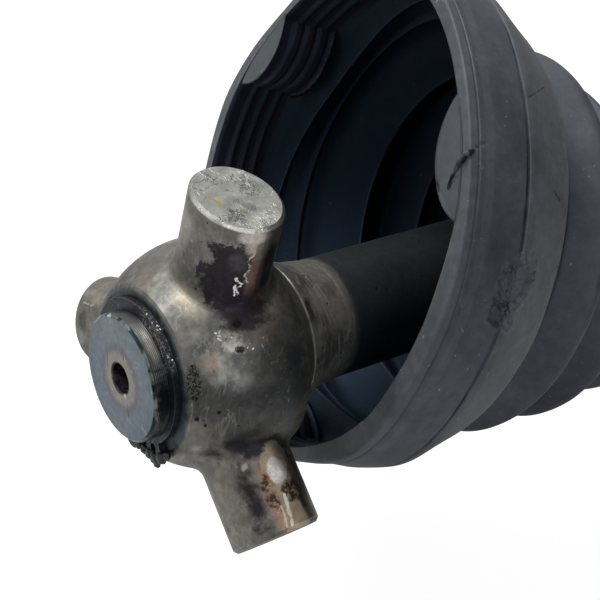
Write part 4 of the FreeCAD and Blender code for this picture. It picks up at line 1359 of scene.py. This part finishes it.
    def fold_piece(self, name: str, outline: np.ndarray, wave: float) -> bpy.types.Object:
        """A stretch of folds as a closed shell.

        Args:
            name: the piece's name.
            outline: its outside, depth and radius.
            wave: how far its inside follows the three pads.
        Returns:
            The new object.
        """
        inner = outline[::-1].copy()
        inner[:, 1] -= self.wall
        both = np.concatenate([outline, inner])
        depth, radius, spread = self.sweep(both, self.plain_turns())
        ends = np.minimum(depth - outline[0, 0], outline[-1, 0] - depth)
        calm = np.clip(ends / 2.0, 0.0, 1.0)
        inside = np.zeros_like(depth)
        inside[len(outline):] = 1.0
        radius = radius - wave * inside * calm * self.lobes(spread)
        radius = radius + calm * 0.16 * hash_wave(LINE.points(depth, radius, spread), 0.09, 21.0)
        mesh = Mesh()
        mesh.shell(LINE.points(depth, radius, spread), len(outline))
        return mesh.build(name, [self.outer, self.inner])

    def build_neck(self) -> bpy.types.Object:
        """The neck that grips the bar, with the clamp's seat between two rims."""
        start = self.neck_from
        seat = self.bar_radius + self.neck_wall
        rim = seat + self.neck_rim
        end = start + self.neck_length
        outline = rounded([
            (start, self.bar_radius, 0.0), (start, seat, 0.4), (start + 1.2, rim, 0.7),
            (start + self.rim_width, rim, 0.6), (start + self.rim_width + 0.6, seat, 0.4),
            (end - self.rim_width - 0.6, seat, 0.4), (end - self.rim_width, rim, 0.6), (end - 0.5, rim, 0.6),
            (end, seat - 0.4, 0.6), (end, self.bar_radius, 0.0)], 0.5)
        points = LINE.points(*self.sweep(outline, self.plain_turns()))
        mesh = Mesh()
        mesh.sheet(np.concatenate([points, points[:1]]), 0)
        return mesh.build("boot_neck_sleeve", [self.outer])

    def build(self) -> list[bpy.types.Object]:
        """Make every piece of the boot, tie the mouth, pads and neck to their bodies and hide the parts they
        stand for.
        """
        bend_from, bend_to = LINE.bend_from, LINE.bend_to
        collar, neck_from = self.collar_depth, self.neck_from
        mouth = self.build_mouth()
        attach(mouth, "boot_mouth")
        pads = self.build_pads()
        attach(pads, "boot_mouth")
        bend_valley = self.peak(bend_from) - self.fold_depth
        end_valley = self.peak(bend_to) - self.fold_depth
        length = bend_to - bend_from
        pitch, seat = self.fold_pitch, self.bar_radius + self.neck_wall
        outline = self.folds(collar, bend_from, self.peak_start, pitch, self.collar_valley, bend_valley)
        front = self.fold_piece("boot_front_folds", outline, 0.6)
        LINE.point(bend_from)
        LINE.point(collar)
        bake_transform(front)
        outline = self.folds(bend_from, bend_to, bend_from + length / 4, length / 2, bend_valley, end_valley)
        middle = self.fold_piece("boot_middle_folds", outline, 0.0)
        LINE.point(bend_to)
        LINE.point(bend_from)
        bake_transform(middle)
        outline = self.folds(bend_to, neck_from, bend_to + pitch / 2, pitch, end_valley, seat)
        rear = self.fold_piece("boot_rear_folds", outline, 0.0)
        LINE.point(neck_from)
        LINE.point(bend_to)
        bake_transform(rear)
        neck = self.build_neck()
        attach(neck, "shaft")
        stands_for = (
            (mouth, "boot_collar", "boot_rubber"), (pads, "trilobe_pads", "pad_rubber"),
            (front, "bellows_front", "boot_rubber"), (middle, "bellows_middle", "boot_rubber"),
            (rear, "bellows_rear", "boot_rubber"), (neck, "boot_neck", "boot_rubber"))
        for piece, node, slot in stands_for:
            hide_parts(node)
        return [mouth, pads, front, middle, rear, neck]


# ------------------------------------------------------------------ the steel parts

# This dark is laid both as soot in stains and as painted shade where the trunnions meet the hub.
SOOT_AND_SHADE = (0.018, 0.017, 0.022)
PURPLE = (0.026, 0.022, 0.030)
BROWN = (0.052, 0.036, 0.030)
BURR = (0.78, 0.76, 0.72)
COPPER = (0.260, 0.145, 0.095)
SILVER = (0.66, 0.62, 0.56)
PIT = (0.012, 0.012, 0.013)


def scuffs(seed: int, count: int, start: Point, end: Point, spread: float, long: float,
           colour: Colour) -> Scratches:
    """Short scratches scattered along a line on the steel.

    Args:
        seed: the number that fixes their places.
        count: how many there are.
        start: where the line starts, in millimetres.
        end: where it ends.
        spread: how far from the line they lie.
        long: the length of the longest.
        colour: their colour.
    Returns:
        The scratches.
    """
    rng = random.Random(seed)
    near, far = np.array(start), np.array(end)
    marks = []
    for _ in range(count):
        here = near + (far - near) * rng.random() + np.array([rng.uniform(-spread, spread) for _ in range(3)])
        there = here + np.array([rng.uniform(-1.0, 1.0) for _ in range(3)]) * long
        marks.append(Stroke(
            tuple(map(float, here)), tuple(map(float, there)), rng.uniform(0.10, 0.24), colour, 0.3, 0.5,
            800.0, rng.uniform(0.5, 1.0)))
    return Scratches(tuple(marks), colour, 0.3)


def broken_line(places: list[Point], width: float, colour: Colour, rough: float, ragged: float) -> Scratches:
    """A chain of strokes through places.

    Args:
        places: the places in order, in millimetres.
        width: how wide the strokes are.
        colour: their colour.
        rough: their roughness.
        ragged: how far their edges wander, in millimetres.
    Returns:
        The chain.
    """
    pairs = zip(places, places[1:])
    return Scratches(tuple(Stroke(*pair, width, colour, rough, ragged) for pair in pairs), colour, rough)


# On the hub and its three trunnions: painted shade on the hub's far side and the hub's tints, painted shadow
# at the first trunnion's root, its stain and burrs, the hub's scuffs and pits, painted shade low on the hub's
# far side and at the second trunnion's root with dark marks, that trunnion's tan and bright marks with
# painted highlights, then the third's.
SPIDER_MARKS: tuple[Patch | Stroke | Scratches, ...] = (
    # Painted shade on the hub's side away from the key light.
    Patch((-1.5, 21.5, 5.0), (10.5, 6.0, 9.0), (0.046, 0.048, 0.052), 0.46, 0.5, 160.0, 0.8, strength=0.75),
    Patch((-6.0, 19.0, 11.0), (4.0, 7.0, 7.0), (0.040, 0.042, 0.045), 0.46, 0.6, 200.0, 0.7, strength=0.7),
    Patch((6.8, 16.0, 14.0), (2.2, 2.5, 3.0), (0.048, 0.048, 0.050), 0.42, 0.5, 220.0, 0.8, strength=0.6),
    Patch((9.5, 14.0, 13.5), (2.6, 3.6, 2.6), (0.33, 0.25, 0.185), 0.36, 0.5, 200.0, 0.9, strength=0.55),
    Patch((9.0, 4.0, 19.0), (3.2, 6.5, 3.0), (0.34, 0.29, 0.215), 0.34, 0.5, 200.0, 0.9, strength=0.5),
    # Painted shadow at the first trunnion's root, where it meets the hub.
    Patch((2.5, 10.0, 20.4), (8.2, 4.5, 2.4), SOOT_AND_SHADE, 0.5, 0.5, 260.0, 0.5, strength=0.95),
    Patch((1.0, 12.0, 18.6), (5.6, 2.2, 1.4), PURPLE, 0.45, 0.8, 300.0, 0.4, strength=0.9),
    Patch((5.2, 7.4, 27.4), (3.5, 5.4, 7.4), PURPLE, 0.5, 0.9, 240.0, 0.10, height=0.05, strength=0.96),
    Patch((2.6, 9.4, 22.6), (4.6, 3.4, 3.4), PURPLE, 0.5, 0.8, 200.0, 0.25, strength=0.95),
    Patch((6.6, 5.6, 24.0), (2.0, 3.0, 3.4), SOOT_AND_SHADE, 0.5, 0.9, 240.0, 0.4, broken=0.3),
    Patch((3.4, 8.8, 31.0), (3.2, 3.0, 3.0), (0.060, 0.056, 0.060), 0.44, 0.6, 300.0, 0.5, broken=0.5),
    Patch((-2.0, 9.3, 27.5), (2.9, 3.8, 8.0), BROWN, 0.5, 0.5, 220.0, 0.4, strength=0.85),
    Patch((-2.6, 9.0, 28.0), (2.2, 3.0, 6.0), SOOT_AND_SHADE, 0.5, 0.8, 300.0, 0.4, strength=0.9),
    Patch((0.9, 9.8, 27.4), (1.7, 2.0, 5.4), (0.170, 0.092, 0.062), 0.36, 0.6, 260.0, 0.7, broken=0.3),
    Patch((2.0, 9.4, 36.1), (3.4, 3.0, 2.0), (0.60, 0.58, 0.54), 0.28, 0.7, 420.0, 0.5, broken=0.25),
    Patch((2.2, 9.4, 34.0), (1.6, 2.0, 2.2), (0.46, 0.40, 0.35), 0.3, 0.9, 420.0, 0.6, broken=0.5),
    broken_line(
        [(2.6, 9.3, 34.4), (1.5, 9.7, 32.6), (2.5, 9.4, 30.9), (1.5, 9.7, 29.6), (2.4, 9.4, 28.1),
         (1.7, 9.6, 26.3)], 0.22, (0.48, 0.42, 0.37), 0.26, 0.9),
    broken_line(
        [(3.7, 8.8, 27.0), (2.6, 9.35, 25.8), (3.2, 9.0, 24.4), (2.7, 9.3, 23.6)], 0.34, BURR, 0.24, 1.1),
    broken_line([(3.0, 9.1, 26.4), (3.6, 8.8, 25.2), (3.4, 9.0, 23.2)], 0.20, BURR, 0.24, 0.9),
    scuffs(3, 8, (2.4, 9.5, 33.0), (1.6, 9.6, 24.0), 0.7, 1.1, (0.42, 0.37, 0.32)),
    Patch((3.5, 11.8, 18.7), (1.15, 1.15, 1.1), (0.006, 0.006, 0.007), 0.6, 0.7, 500.0, 0.5),
    Patch((5.2, 14.0, 16.4), (3.6, 3.2, 1.8), (0.30, 0.275, 0.245), 0.32, 0.9, 300.0, 0.6, broken=0.85),
    scuffs(5, 26, (7.0, 12.0, 17.4), (2.4, 15.6, 16.2), 0.9, 1.8, (0.80, 0.78, 0.73)),
    scuffs(6, 12, (6.6, 12.6, 17.0), (2.6, 15.6, 15.8), 0.5, 1.5, (0.030, 0.028, 0.030)),
    scuffs(9, 7, (1.4, 15.4, 16.4), (-1.5, 15.8, 16.4), 0.6, 1.2, (0.50, 0.47, 0.43)),
    Patch((4.4, 15.2, 15.7), (0.9, 0.9, 0.7), (0.012, 0.012, 0.014), 0.5, 1.2, 500.0, 0.3, height=0.12),
    Patch((12.7, 14.4, 9.5), (1.3, 2.8, 4.2), (0.010, 0.011, 0.012), 0.6, 0.9, 1100.0, 0.2,
          broken=1.05, height=-0.08),
    Patch((12.6, 13.2, 11.8), (0.9, 1.2, 1.3), (0.012, 0.012, 0.014), 0.6, 0.9, 1100.0, 0.2,
          broken=0.9, height=-0.08),
    Patch((12.5, 17.3, 3.2), (0.5, 0.5, 0.6), PIT, 0.6, ragged=0.8, grain=900.0, height=-0.1),
    Patch((11.7, 18.2, 3.3), (0.4, 0.4, 0.3), PIT, 0.6, ragged=0.8, grain=900.0, height=-0.1),
    Patch((11.3, 18.5, 2.2), (0.35, 0.35, 0.45), PIT, 0.6, ragged=0.8, grain=900.0, height=-0.1),
    Patch((9.4, 19.2, 5.4), (0.5, 0.6, 0.5), PIT, 0.6, ragged=0.5, grain=700.0, height=-0.1),
    # Painted shade on the hub's lower far side and along its junction with the second trunnion.
    Patch((1.0, 20.6, 9.0), (13.0, 3.6, 6.5), (0.058, 0.060, 0.060), 0.46, 0.3, 90.0, 1.0, strength=0.7),
    Patch((9.6, 19.6, -5.4), (4.0, 2.6, 3.0), SOOT_AND_SHADE, 0.5, 0.9, 260.0, 0.8, strength=0.9),
    Patch((1.5, 21.0, 8.0), (10.0, 4.0, 5.0), (0.050, 0.050, 0.052), 0.46, 0.4, 120.0, 1.0, strength=0.6),
    Patch((4.0, 22.0, -1.0), (9.0, 3.5, 4.5), (0.040, 0.039, 0.042), 0.48, 0.5, 200.0, 0.7, strength=0.8),
    Patch((5.5, 21.6, -2.6), (8.0, 2.2, 2.2), SOOT_AND_SHADE, 0.5, 0.6, 260.0, 0.6, strength=0.85),
    Patch((0.5, 23.8, -3.0), (8.5, 2.0, 3.0), SOOT_AND_SHADE, 0.5, 0.7, 260.0, 0.5, strength=0.9),
    Patch((5.6, 29.4, -9.0), (2.7, 10.8, 3.8), (0.024, 0.020, 0.023), 0.46, 0.9, 380.0, 0.9, turn=-30.0),
    Patch((-0.6, 32.3, -7.3), (4.3, 10.6, 5.2), (0.430, 0.345, 0.245), 0.22, 0.3, 180.0, 0.12, turn=-30.0),
    Patch((-3.6, 31.6, -8.6), (1.9, 10.0, 3.6), (0.070, 0.054, 0.044), 0.34, 0.8, 220.0, 0.5,
          strength=0.9, turn=-30.0),
    Patch((3.0, 31.2, -8.2), (1.5, 8.6, 3.0), COPPER, 0.3, 0.8, 300.0, 0.4, broken=0.55, turn=-30.0),
    Patch((3.1, 30.4, -7.6), (1.1, 4.4, 2.4), (0.046, 0.028, 0.024), 0.42, 1.0, 420.0, 0.3,
          broken=0.8, turn=-30.0),
    Patch((-0.3, 32.0, -7.2), (2.6, 1.8, 2.4), BROWN, 0.36, 1.2, 420.0, 0.3, broken=0.85, turn=-30.0),
    Patch((-2.6, 32.4, -8.0), (1.5, 2.6, 2.4), (0.036, 0.026, 0.024), 0.36, 1.0, 420.0, 0.3,
          broken=0.7, turn=-30.0),
    Patch((-1.3, 30.6, -6.7), (2.4, 1.0, 1.8), (0.048, 0.034, 0.030), 0.4, 1.0, 420.0, 0.3,
          broken=0.7, turn=-30.0),
    Patch((0.2, 28.2, -4.95), (2.1, 3.2, 1.9), SILVER, 0.22, 0.5, 240.0, 0.22, height=0.03, turn=-30.0),
    # Painted highlights: a near-white spot on the polished place and a near-white streak along the trunnion.
    Patch((0.6, 28.6, -5.2), (1.6, 2.4, 1.5), (0.98, 0.96, 0.92), 0.16, 0.5, 500.0, 0.6, turn=-30.0),
    Stroke((0.7, 32.2, -7.2), (1.4, 37.0, -10.1), 0.42, (0.95, 0.90, 0.82), 0.2, 0.6),
    Stroke((2.0, 33.6, -8.4), (2.4, 36.8, -10.3), 0.24, (0.60, 0.50, 0.42), 0.25, 0.5),
    Patch((5.2, 24.7, -5.5), (0.9, 1.0, 0.8), (0.30, 0.28, 0.24), 0.3, 1.2, 400.0, 0.7, turn=-30.0),
    # Painted highlight on the third trunnion.
    Patch((5.0, -31.5, -9.5), (2.2, 6.5, 1.6), (0.34, 0.32, 0.25), 0.3, 0.5, 240.0, 0.6,
          broken=0.4, turn=30.0),
    Stroke((6.4, -33.5, -12.2), (6.2, -28.6, -9.6), 0.28, (0.46, 0.43, 0.34), 0.3, 0.5),
    Patch((8.0, -31.0, -14.0), (1.2, 2.2, 3.6), (0.055, 0.055, 0.052), 0.5, 0.7, 300.0, 0.5,
          strength=0.7, turn=30.0),
)

# On the first trunnion's tip, starting with a painted highlight along the front of its rim.
SPIDER_TIPS: tuple[Patch | Stroke | Scratches, ...] = (
    Patch((3.0, 8.6, 37.5), (7.5, 4.6, 0.42), (0.80, 0.79, 0.74), 0.26, 0.5, 300.0, 0.6, strength=0.9),
    Patch((0.2, 4.4, 37.9), (3.0, 3.4, 2.0), (0.20, 0.20, 0.185), 0.46, 0.9, 420.0, 0.4,
          broken=0.6, height=-0.03),
    Patch((-0.6, 3.4, 37.9), (1.4, 1.4, 1.0), (0.140, 0.165, 0.180), 0.4, 0.6, 400.0, 0.7),
    Stroke((5.1, -1.4, 37.9), (4.2, 0.2, 37.9), 0.30, (0.30, 0.20, 0.06), 0.5, 0.5),
    Patch((4.2, 0.4, 37.9), (0.55, 0.6, 0.6), (0.42, 0.25, 0.04), 0.5, 0.6, 600.0, 0.4),
    Patch((-1.6, 7.0, 37.9), (4.4, 3.0, 1.0), (0.46, 0.46, 0.43), 0.32, 0.8, 420.0, 0.5,
          broken=0.75, height=0.03),
    Patch((3.6, 4.8, 37.9), (2.6, 2.6, 1.0), (0.115, 0.115, 0.108), 0.5, 1.0, 600.0, 0.4,
          broken=0.95, height=-0.04),
    Patch((-3.6, -2.2, 37.9), (3.0, 3.6, 1.0), (0.150, 0.150, 0.140), 0.5, 1.0, 500.0, 0.4,
          broken=0.95, height=-0.04),
)

# On the bar's end face, its pilot and the shoulder behind the spider.
BAR_MARKS: tuple[Patch | Stroke | Scratches, ...] = (
    Stroke((18.3, -0.55, 6.1), (18.3, 0.1, 4.9), 0.14, (0.06, 0.07, 0.10), 0.5, 0.2),
    Stroke((18.3, 0.1, 5.9), (18.3, 0.75, 4.9), 0.12, (0.42, 0.43, 0.46), 0.4, 0.2),
    Stroke((18.3, 3.5, -3.4), (18.3, 4.9, -5.5), 0.14, (0.06, 0.07, 0.11), 0.5, 0.2),
    Stroke((18.3, -5.2, 1.6), (18.3, -4.6, -0.6), 0.12, (0.09, 0.08, 0.14), 0.5, 0.3),
    # Painted glint on the centre hole's rim.
    Patch((18.0, 2.4, -2.1), (0.6, 0.9, 0.8), (0.62, 0.60, 0.56), 0.25, 0.4, 500.0, 0.6),
    # Painted highlight on the pilot's top, then painted shade on its far side.
    Patch((16.3, 5.0, 11.4), (1.3, 5.6, 2.6), (0.62, 0.60, 0.56), 0.22, 0.3, 300.0, 0.7, strength=0.6),
    Patch((16.3, 11.3, 3.0), (1.4, 3.0, 7.5), (0.014, 0.016, 0.021), 0.4, 0.4, 300.0, 0.5, strength=0.9),
    # Painted highlight on top of the shoulder behind the spider.
    Patch((-20.3, 6.0, 12.0), (3.2, 5.5, 3.4), (0.44, 0.42, 0.38), 0.3, 0.6, 260.0, 0.7, strength=0.6),
    Patch((-17.2, 7.4, 11.9), (1.0, 3.4, 2.6), (0.030, 0.028, 0.030), 0.5, 0.9, 300.0, 0.4, broken=0.4),
    scuffs(12, 9, (-17.0, 5.0, 13.2), (-16.6, 10.0, 9.8), 0.7, 1.6, (0.60, 0.58, 0.54)),
    scuffs(14, 8, (-19.0, 1.0, 13.9), (-26.0, 7.0, 10.8), 1.2, 1.6, (0.05, 0.048, 0.046)),
)


@dataclass(frozen=True)
class GreaseLumps:
    """Old grease clotted round the clip's lugs. Millimetres."""

    lumps: tuple[tuple[Point, float], ...] = (
        ((14.8, 8.9, -12.9), 1.25), ((14.6, 10.6, -12.4), 1.55), ((14.7, 12.3, -10.9), 1.30),
        ((14.6, 11.2, -13.6), 0.85), ((14.9, 7.0, -13.6), 0.95), ((14.6, 13.6, -9.3), 0.90),
        ((14.7, 4.9, -14.6), 0.85))
    rough: float = 0.20

    def build(self) -> bpy.types.Object:
        """Make the lumps and tie them to the bar."""
        mesh = Mesh()
        rise = np.linspace(0.0, math.pi, 15)
        turn = np.linspace(0.0, math.tau, 24, endpoint=False)
        ways = np.stack([
            np.cos(rise)[:, None] * np.ones_like(turn)[None, :],
            np.sin(rise)[:, None] * np.cos(turn)[None, :],
            np.sin(rise)[:, None] * np.sin(turn)[None, :]], axis=-1)
        for centre, radius in self.lumps:
            lumpy = 1 + self.rough * hash_wave(ways + np.array(centre), 1.4, 2.0)
            mesh.sheet(np.array(centre) + ways * radius * lumpy[..., None] * np.array([0.75, 1.0, 1.0]))
        piece = mesh.build("clip_grease", [Grease().material()])
        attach(piece, "shaft")
        return piece


@dataclass
class SteelParts:
    """The bar, spider, clip, wire ring and neck clamp, which keep their own shapes."""

    finishes: dict[str, Any] = field(default_factory=lambda: {
        "drive_shaft": TurnedSteel(marks=BAR_MARKS),
        "tripod_spider": ForgedSteel(marks=SPIDER_MARKS, tips=SPIDER_TIPS),
        "spider_circlip": SpringSteel("clip_steel", sheared=0.8),
        "outer_snap_ring": SpringSteel("ring_steel"),
        "boot_clamp": BandSteel(),
    })

    def dress(self) -> list[str]:
        """Give each part its finish.

        Returns:
            The names of the parts.
        """
        for name, finish in self.finishes.items():
            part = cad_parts[name]
            material = finish.material()
            for slot in part.material_slots:
                slot.material = material
        return list(self.finishes)


# ------------------------------------------------------------------ studio

@dataclass(frozen=True)
class Studio:
    """The floor, the lamps, the world and the camera.

    Sizes are in metres and turns in degrees. Room and fill are the light from the dark side and the pale
    side, as mirrored by the part and as it falls on it.
    """

    floor_drop: float = 0.045
    floor_reach: float = 6.0
    camera_place: Point = (0.13066, 0.15480, 0.18034)
    camera_turn: float = 45.47
    camera_rise: float = 38.60
    camera_roll: float = 15.23
    lens: float = 84.01
    sensor: float = 36.0
    pale_side: Point = (0.35, -0.75, 0.56)
    floor_tone: Colour = (0.82, 0.82, 0.82)
    floor_seen: Colour = (0.30, 0.30, 0.30)
    floor_glow: float = 0.90
    room: tuple[float, float] = (0.10, 1.0)
    fill: tuple[float, float] = (0.10, 0.34)

    @staticmethod
    def seen(graph: Graph, path: bpy.types.Node) -> bpy.types.NodeSocket:
        """1 for rays that show the background itself, straight or through glass."""
        return graph.math("MAXIMUM", path.outputs["Is Camera Ray"], path.outputs["Is Transmission Ray"])

    def build_floor(self) -> bpy.types.Object:
        """A wide pale floor a little under the part."""
        low = CAD_BOX[0][2] - self.floor_drop
        reach = self.floor_reach
        mesh = bpy.data.meshes.new("floor")
        corners = [(-reach, -reach, low), (reach, -reach, low), (reach, reach, low), (-reach, reach, low)]
        mesh.from_pydata(corners, [], [(0, 1, 2, 3)])
        material = bpy.data.materials.new("pale_floor")
        material.use_nodes = True
        material.node_tree.nodes.clear()
        graph = Graph(material.node_tree)
        seen = self.seen(graph, graph.add("ShaderNodeLightPath"))
        matt = graph.add("ShaderNodeBsdfDiffuse", {"Color": self.floor_tone})
        faint = graph.add("ShaderNodeBsdfDiffuse", {"Color": self.floor_seen})
        glow = graph.add("ShaderNodeEmission", {"Color": EVEN, "Strength": self.floor_glow})
        graph.feed(matt.inputs["Roughness"], graph.add("ShaderNodeTexNoise", {"Scale": 3.0}).outputs[0])
        clear = graph.add("ShaderNodeAddShader", {0: faint.outputs[0], 1: glow.outputs[0]})
        both = graph.add("ShaderNodeMixShader", {0: seen, 1: matt.outputs[0], 2: clear.outputs[0]})
        graph.add("ShaderNodeOutputMaterial", {"Surface": both.outputs[0]})
        mesh.materials.append(material)
        floor = bpy.data.objects.new("floor", mesh)
        bpy.context.collection.objects.link(floor)
        return floor

    def build_world(self) -> None:
        """A white surround for the camera, a soft room for the light, paler on the lamp's side."""
        world = bpy.data.worlds.new("studio")
        world.use_nodes = True
        world.node_tree.nodes.clear()
        graph = Graph(world.node_tree)
        path = graph.add("ShaderNodeLightPath")
        seen = self.seen(graph, path)
        ways = graph.add("ShaderNodeTexCoord").outputs["Generated"]
        towards = graph.vector("DOT_PRODUCT", ways, tuple(Vector(self.pale_side).normalized()), out=1)
        room = graph.blend(graph.step(towards, -0.55, 0.85), *self.room)
        fill = graph.blend(graph.step(towards, -0.7, 1.0), *self.fill)
        mirrored = graph.blend(path.outputs["Is Glossy Ray"], fill, room)
        strength = graph.blend(seen, mirrored, 1.0)
        back = graph.add("ShaderNodeBackground", {"Color": EVEN, "Strength": strength})
        graph.add("ShaderNodeOutputWorld", {"Surface": back.outputs[0]})
        bpy.context.scene.world = world

    def build_lamp(self, name: str, place: Point, aim: Point, size: float, power: float,
                   colour: Colour) -> None:
        """A soft square lamp.

        Args:
            name: the lamp's name.
            place: where it hangs.
            aim: what it points at.
            size: its side.
            power: its power in watts.
            colour: its colour.
        """
        light = bpy.data.lights.new(name, "AREA")
        light.shape = "SQUARE"
        light.size = size
        light.energy = power
        light.color = colour
        lamp = bpy.data.objects.new(name, light)
        lamp.location = place
        lamp.rotation_euler = (Vector(aim) - Vector(place)).to_track_quat("-Z", "Y").to_euler()
        bpy.context.collection.objects.link(lamp)

    def build_camera(self) -> None:
        """The camera, which looks down at the spider from the front and above."""
        turn, rise, roll = map(math.radians, (self.camera_turn, self.camera_rise, self.camera_roll))
        back = Vector((math.cos(rise) * math.cos(turn), math.cos(rise) * math.sin(turn), math.sin(rise)))
        right = Vector((-math.sin(turn), math.cos(turn), 0.0))
        up = back.cross(right)
        tilted = right * math.cos(roll) + up * math.sin(roll)
        top = back.cross(tilted)
        camera = bpy.data.objects.new("camera", bpy.data.cameras.new("camera"))
        camera.data.lens = self.lens
        camera.data.sensor_width = self.sensor
        camera.data.clip_start = 0.01
        facing = Matrix((tilted, top, back)).transposed().to_4x4()
        camera.matrix_world = Matrix.Translation(self.camera_place) @ facing
        bpy.context.collection.objects.link(camera)
        bpy.context.scene.camera = camera

    def build(self) -> None:
        """Set up everything round the part."""
        self.build_floor()
        self.build_world()
        self.build_lamp("key", (0.22, -0.42, 0.72), (-0.02, 0.0, 0.0), 0.50, 6.2, (1.0, 0.99, 0.97))
        self.build_lamp("side", (0.20, 0.62, 0.42), (-0.03, 0.0, 0.0), 0.35, 1.3, (0.95, 0.97, 1.0))
        self.build_camera()
        bpy.context.scene.view_settings.view_transform = "Standard"


def main() -> None:
    """Build the studio, dress the steel and build the boot."""
    logging.basicConfig(level=logging.INFO, format="%(name)s: %(message)s")
    Studio().build()
    LOG.info("studio ready")
    for name in SteelParts().dress():
        LOG.info("dressed %s", name)
    LOG.info("built %s", GreaseLumps().build().name)
    boot = Boot()
    boot.dress()
    for piece in boot.build():
        LOG.info("built %s with %d faces", piece.name, len(piece.data.polygons))


if __name__ == "__main__":
    main()
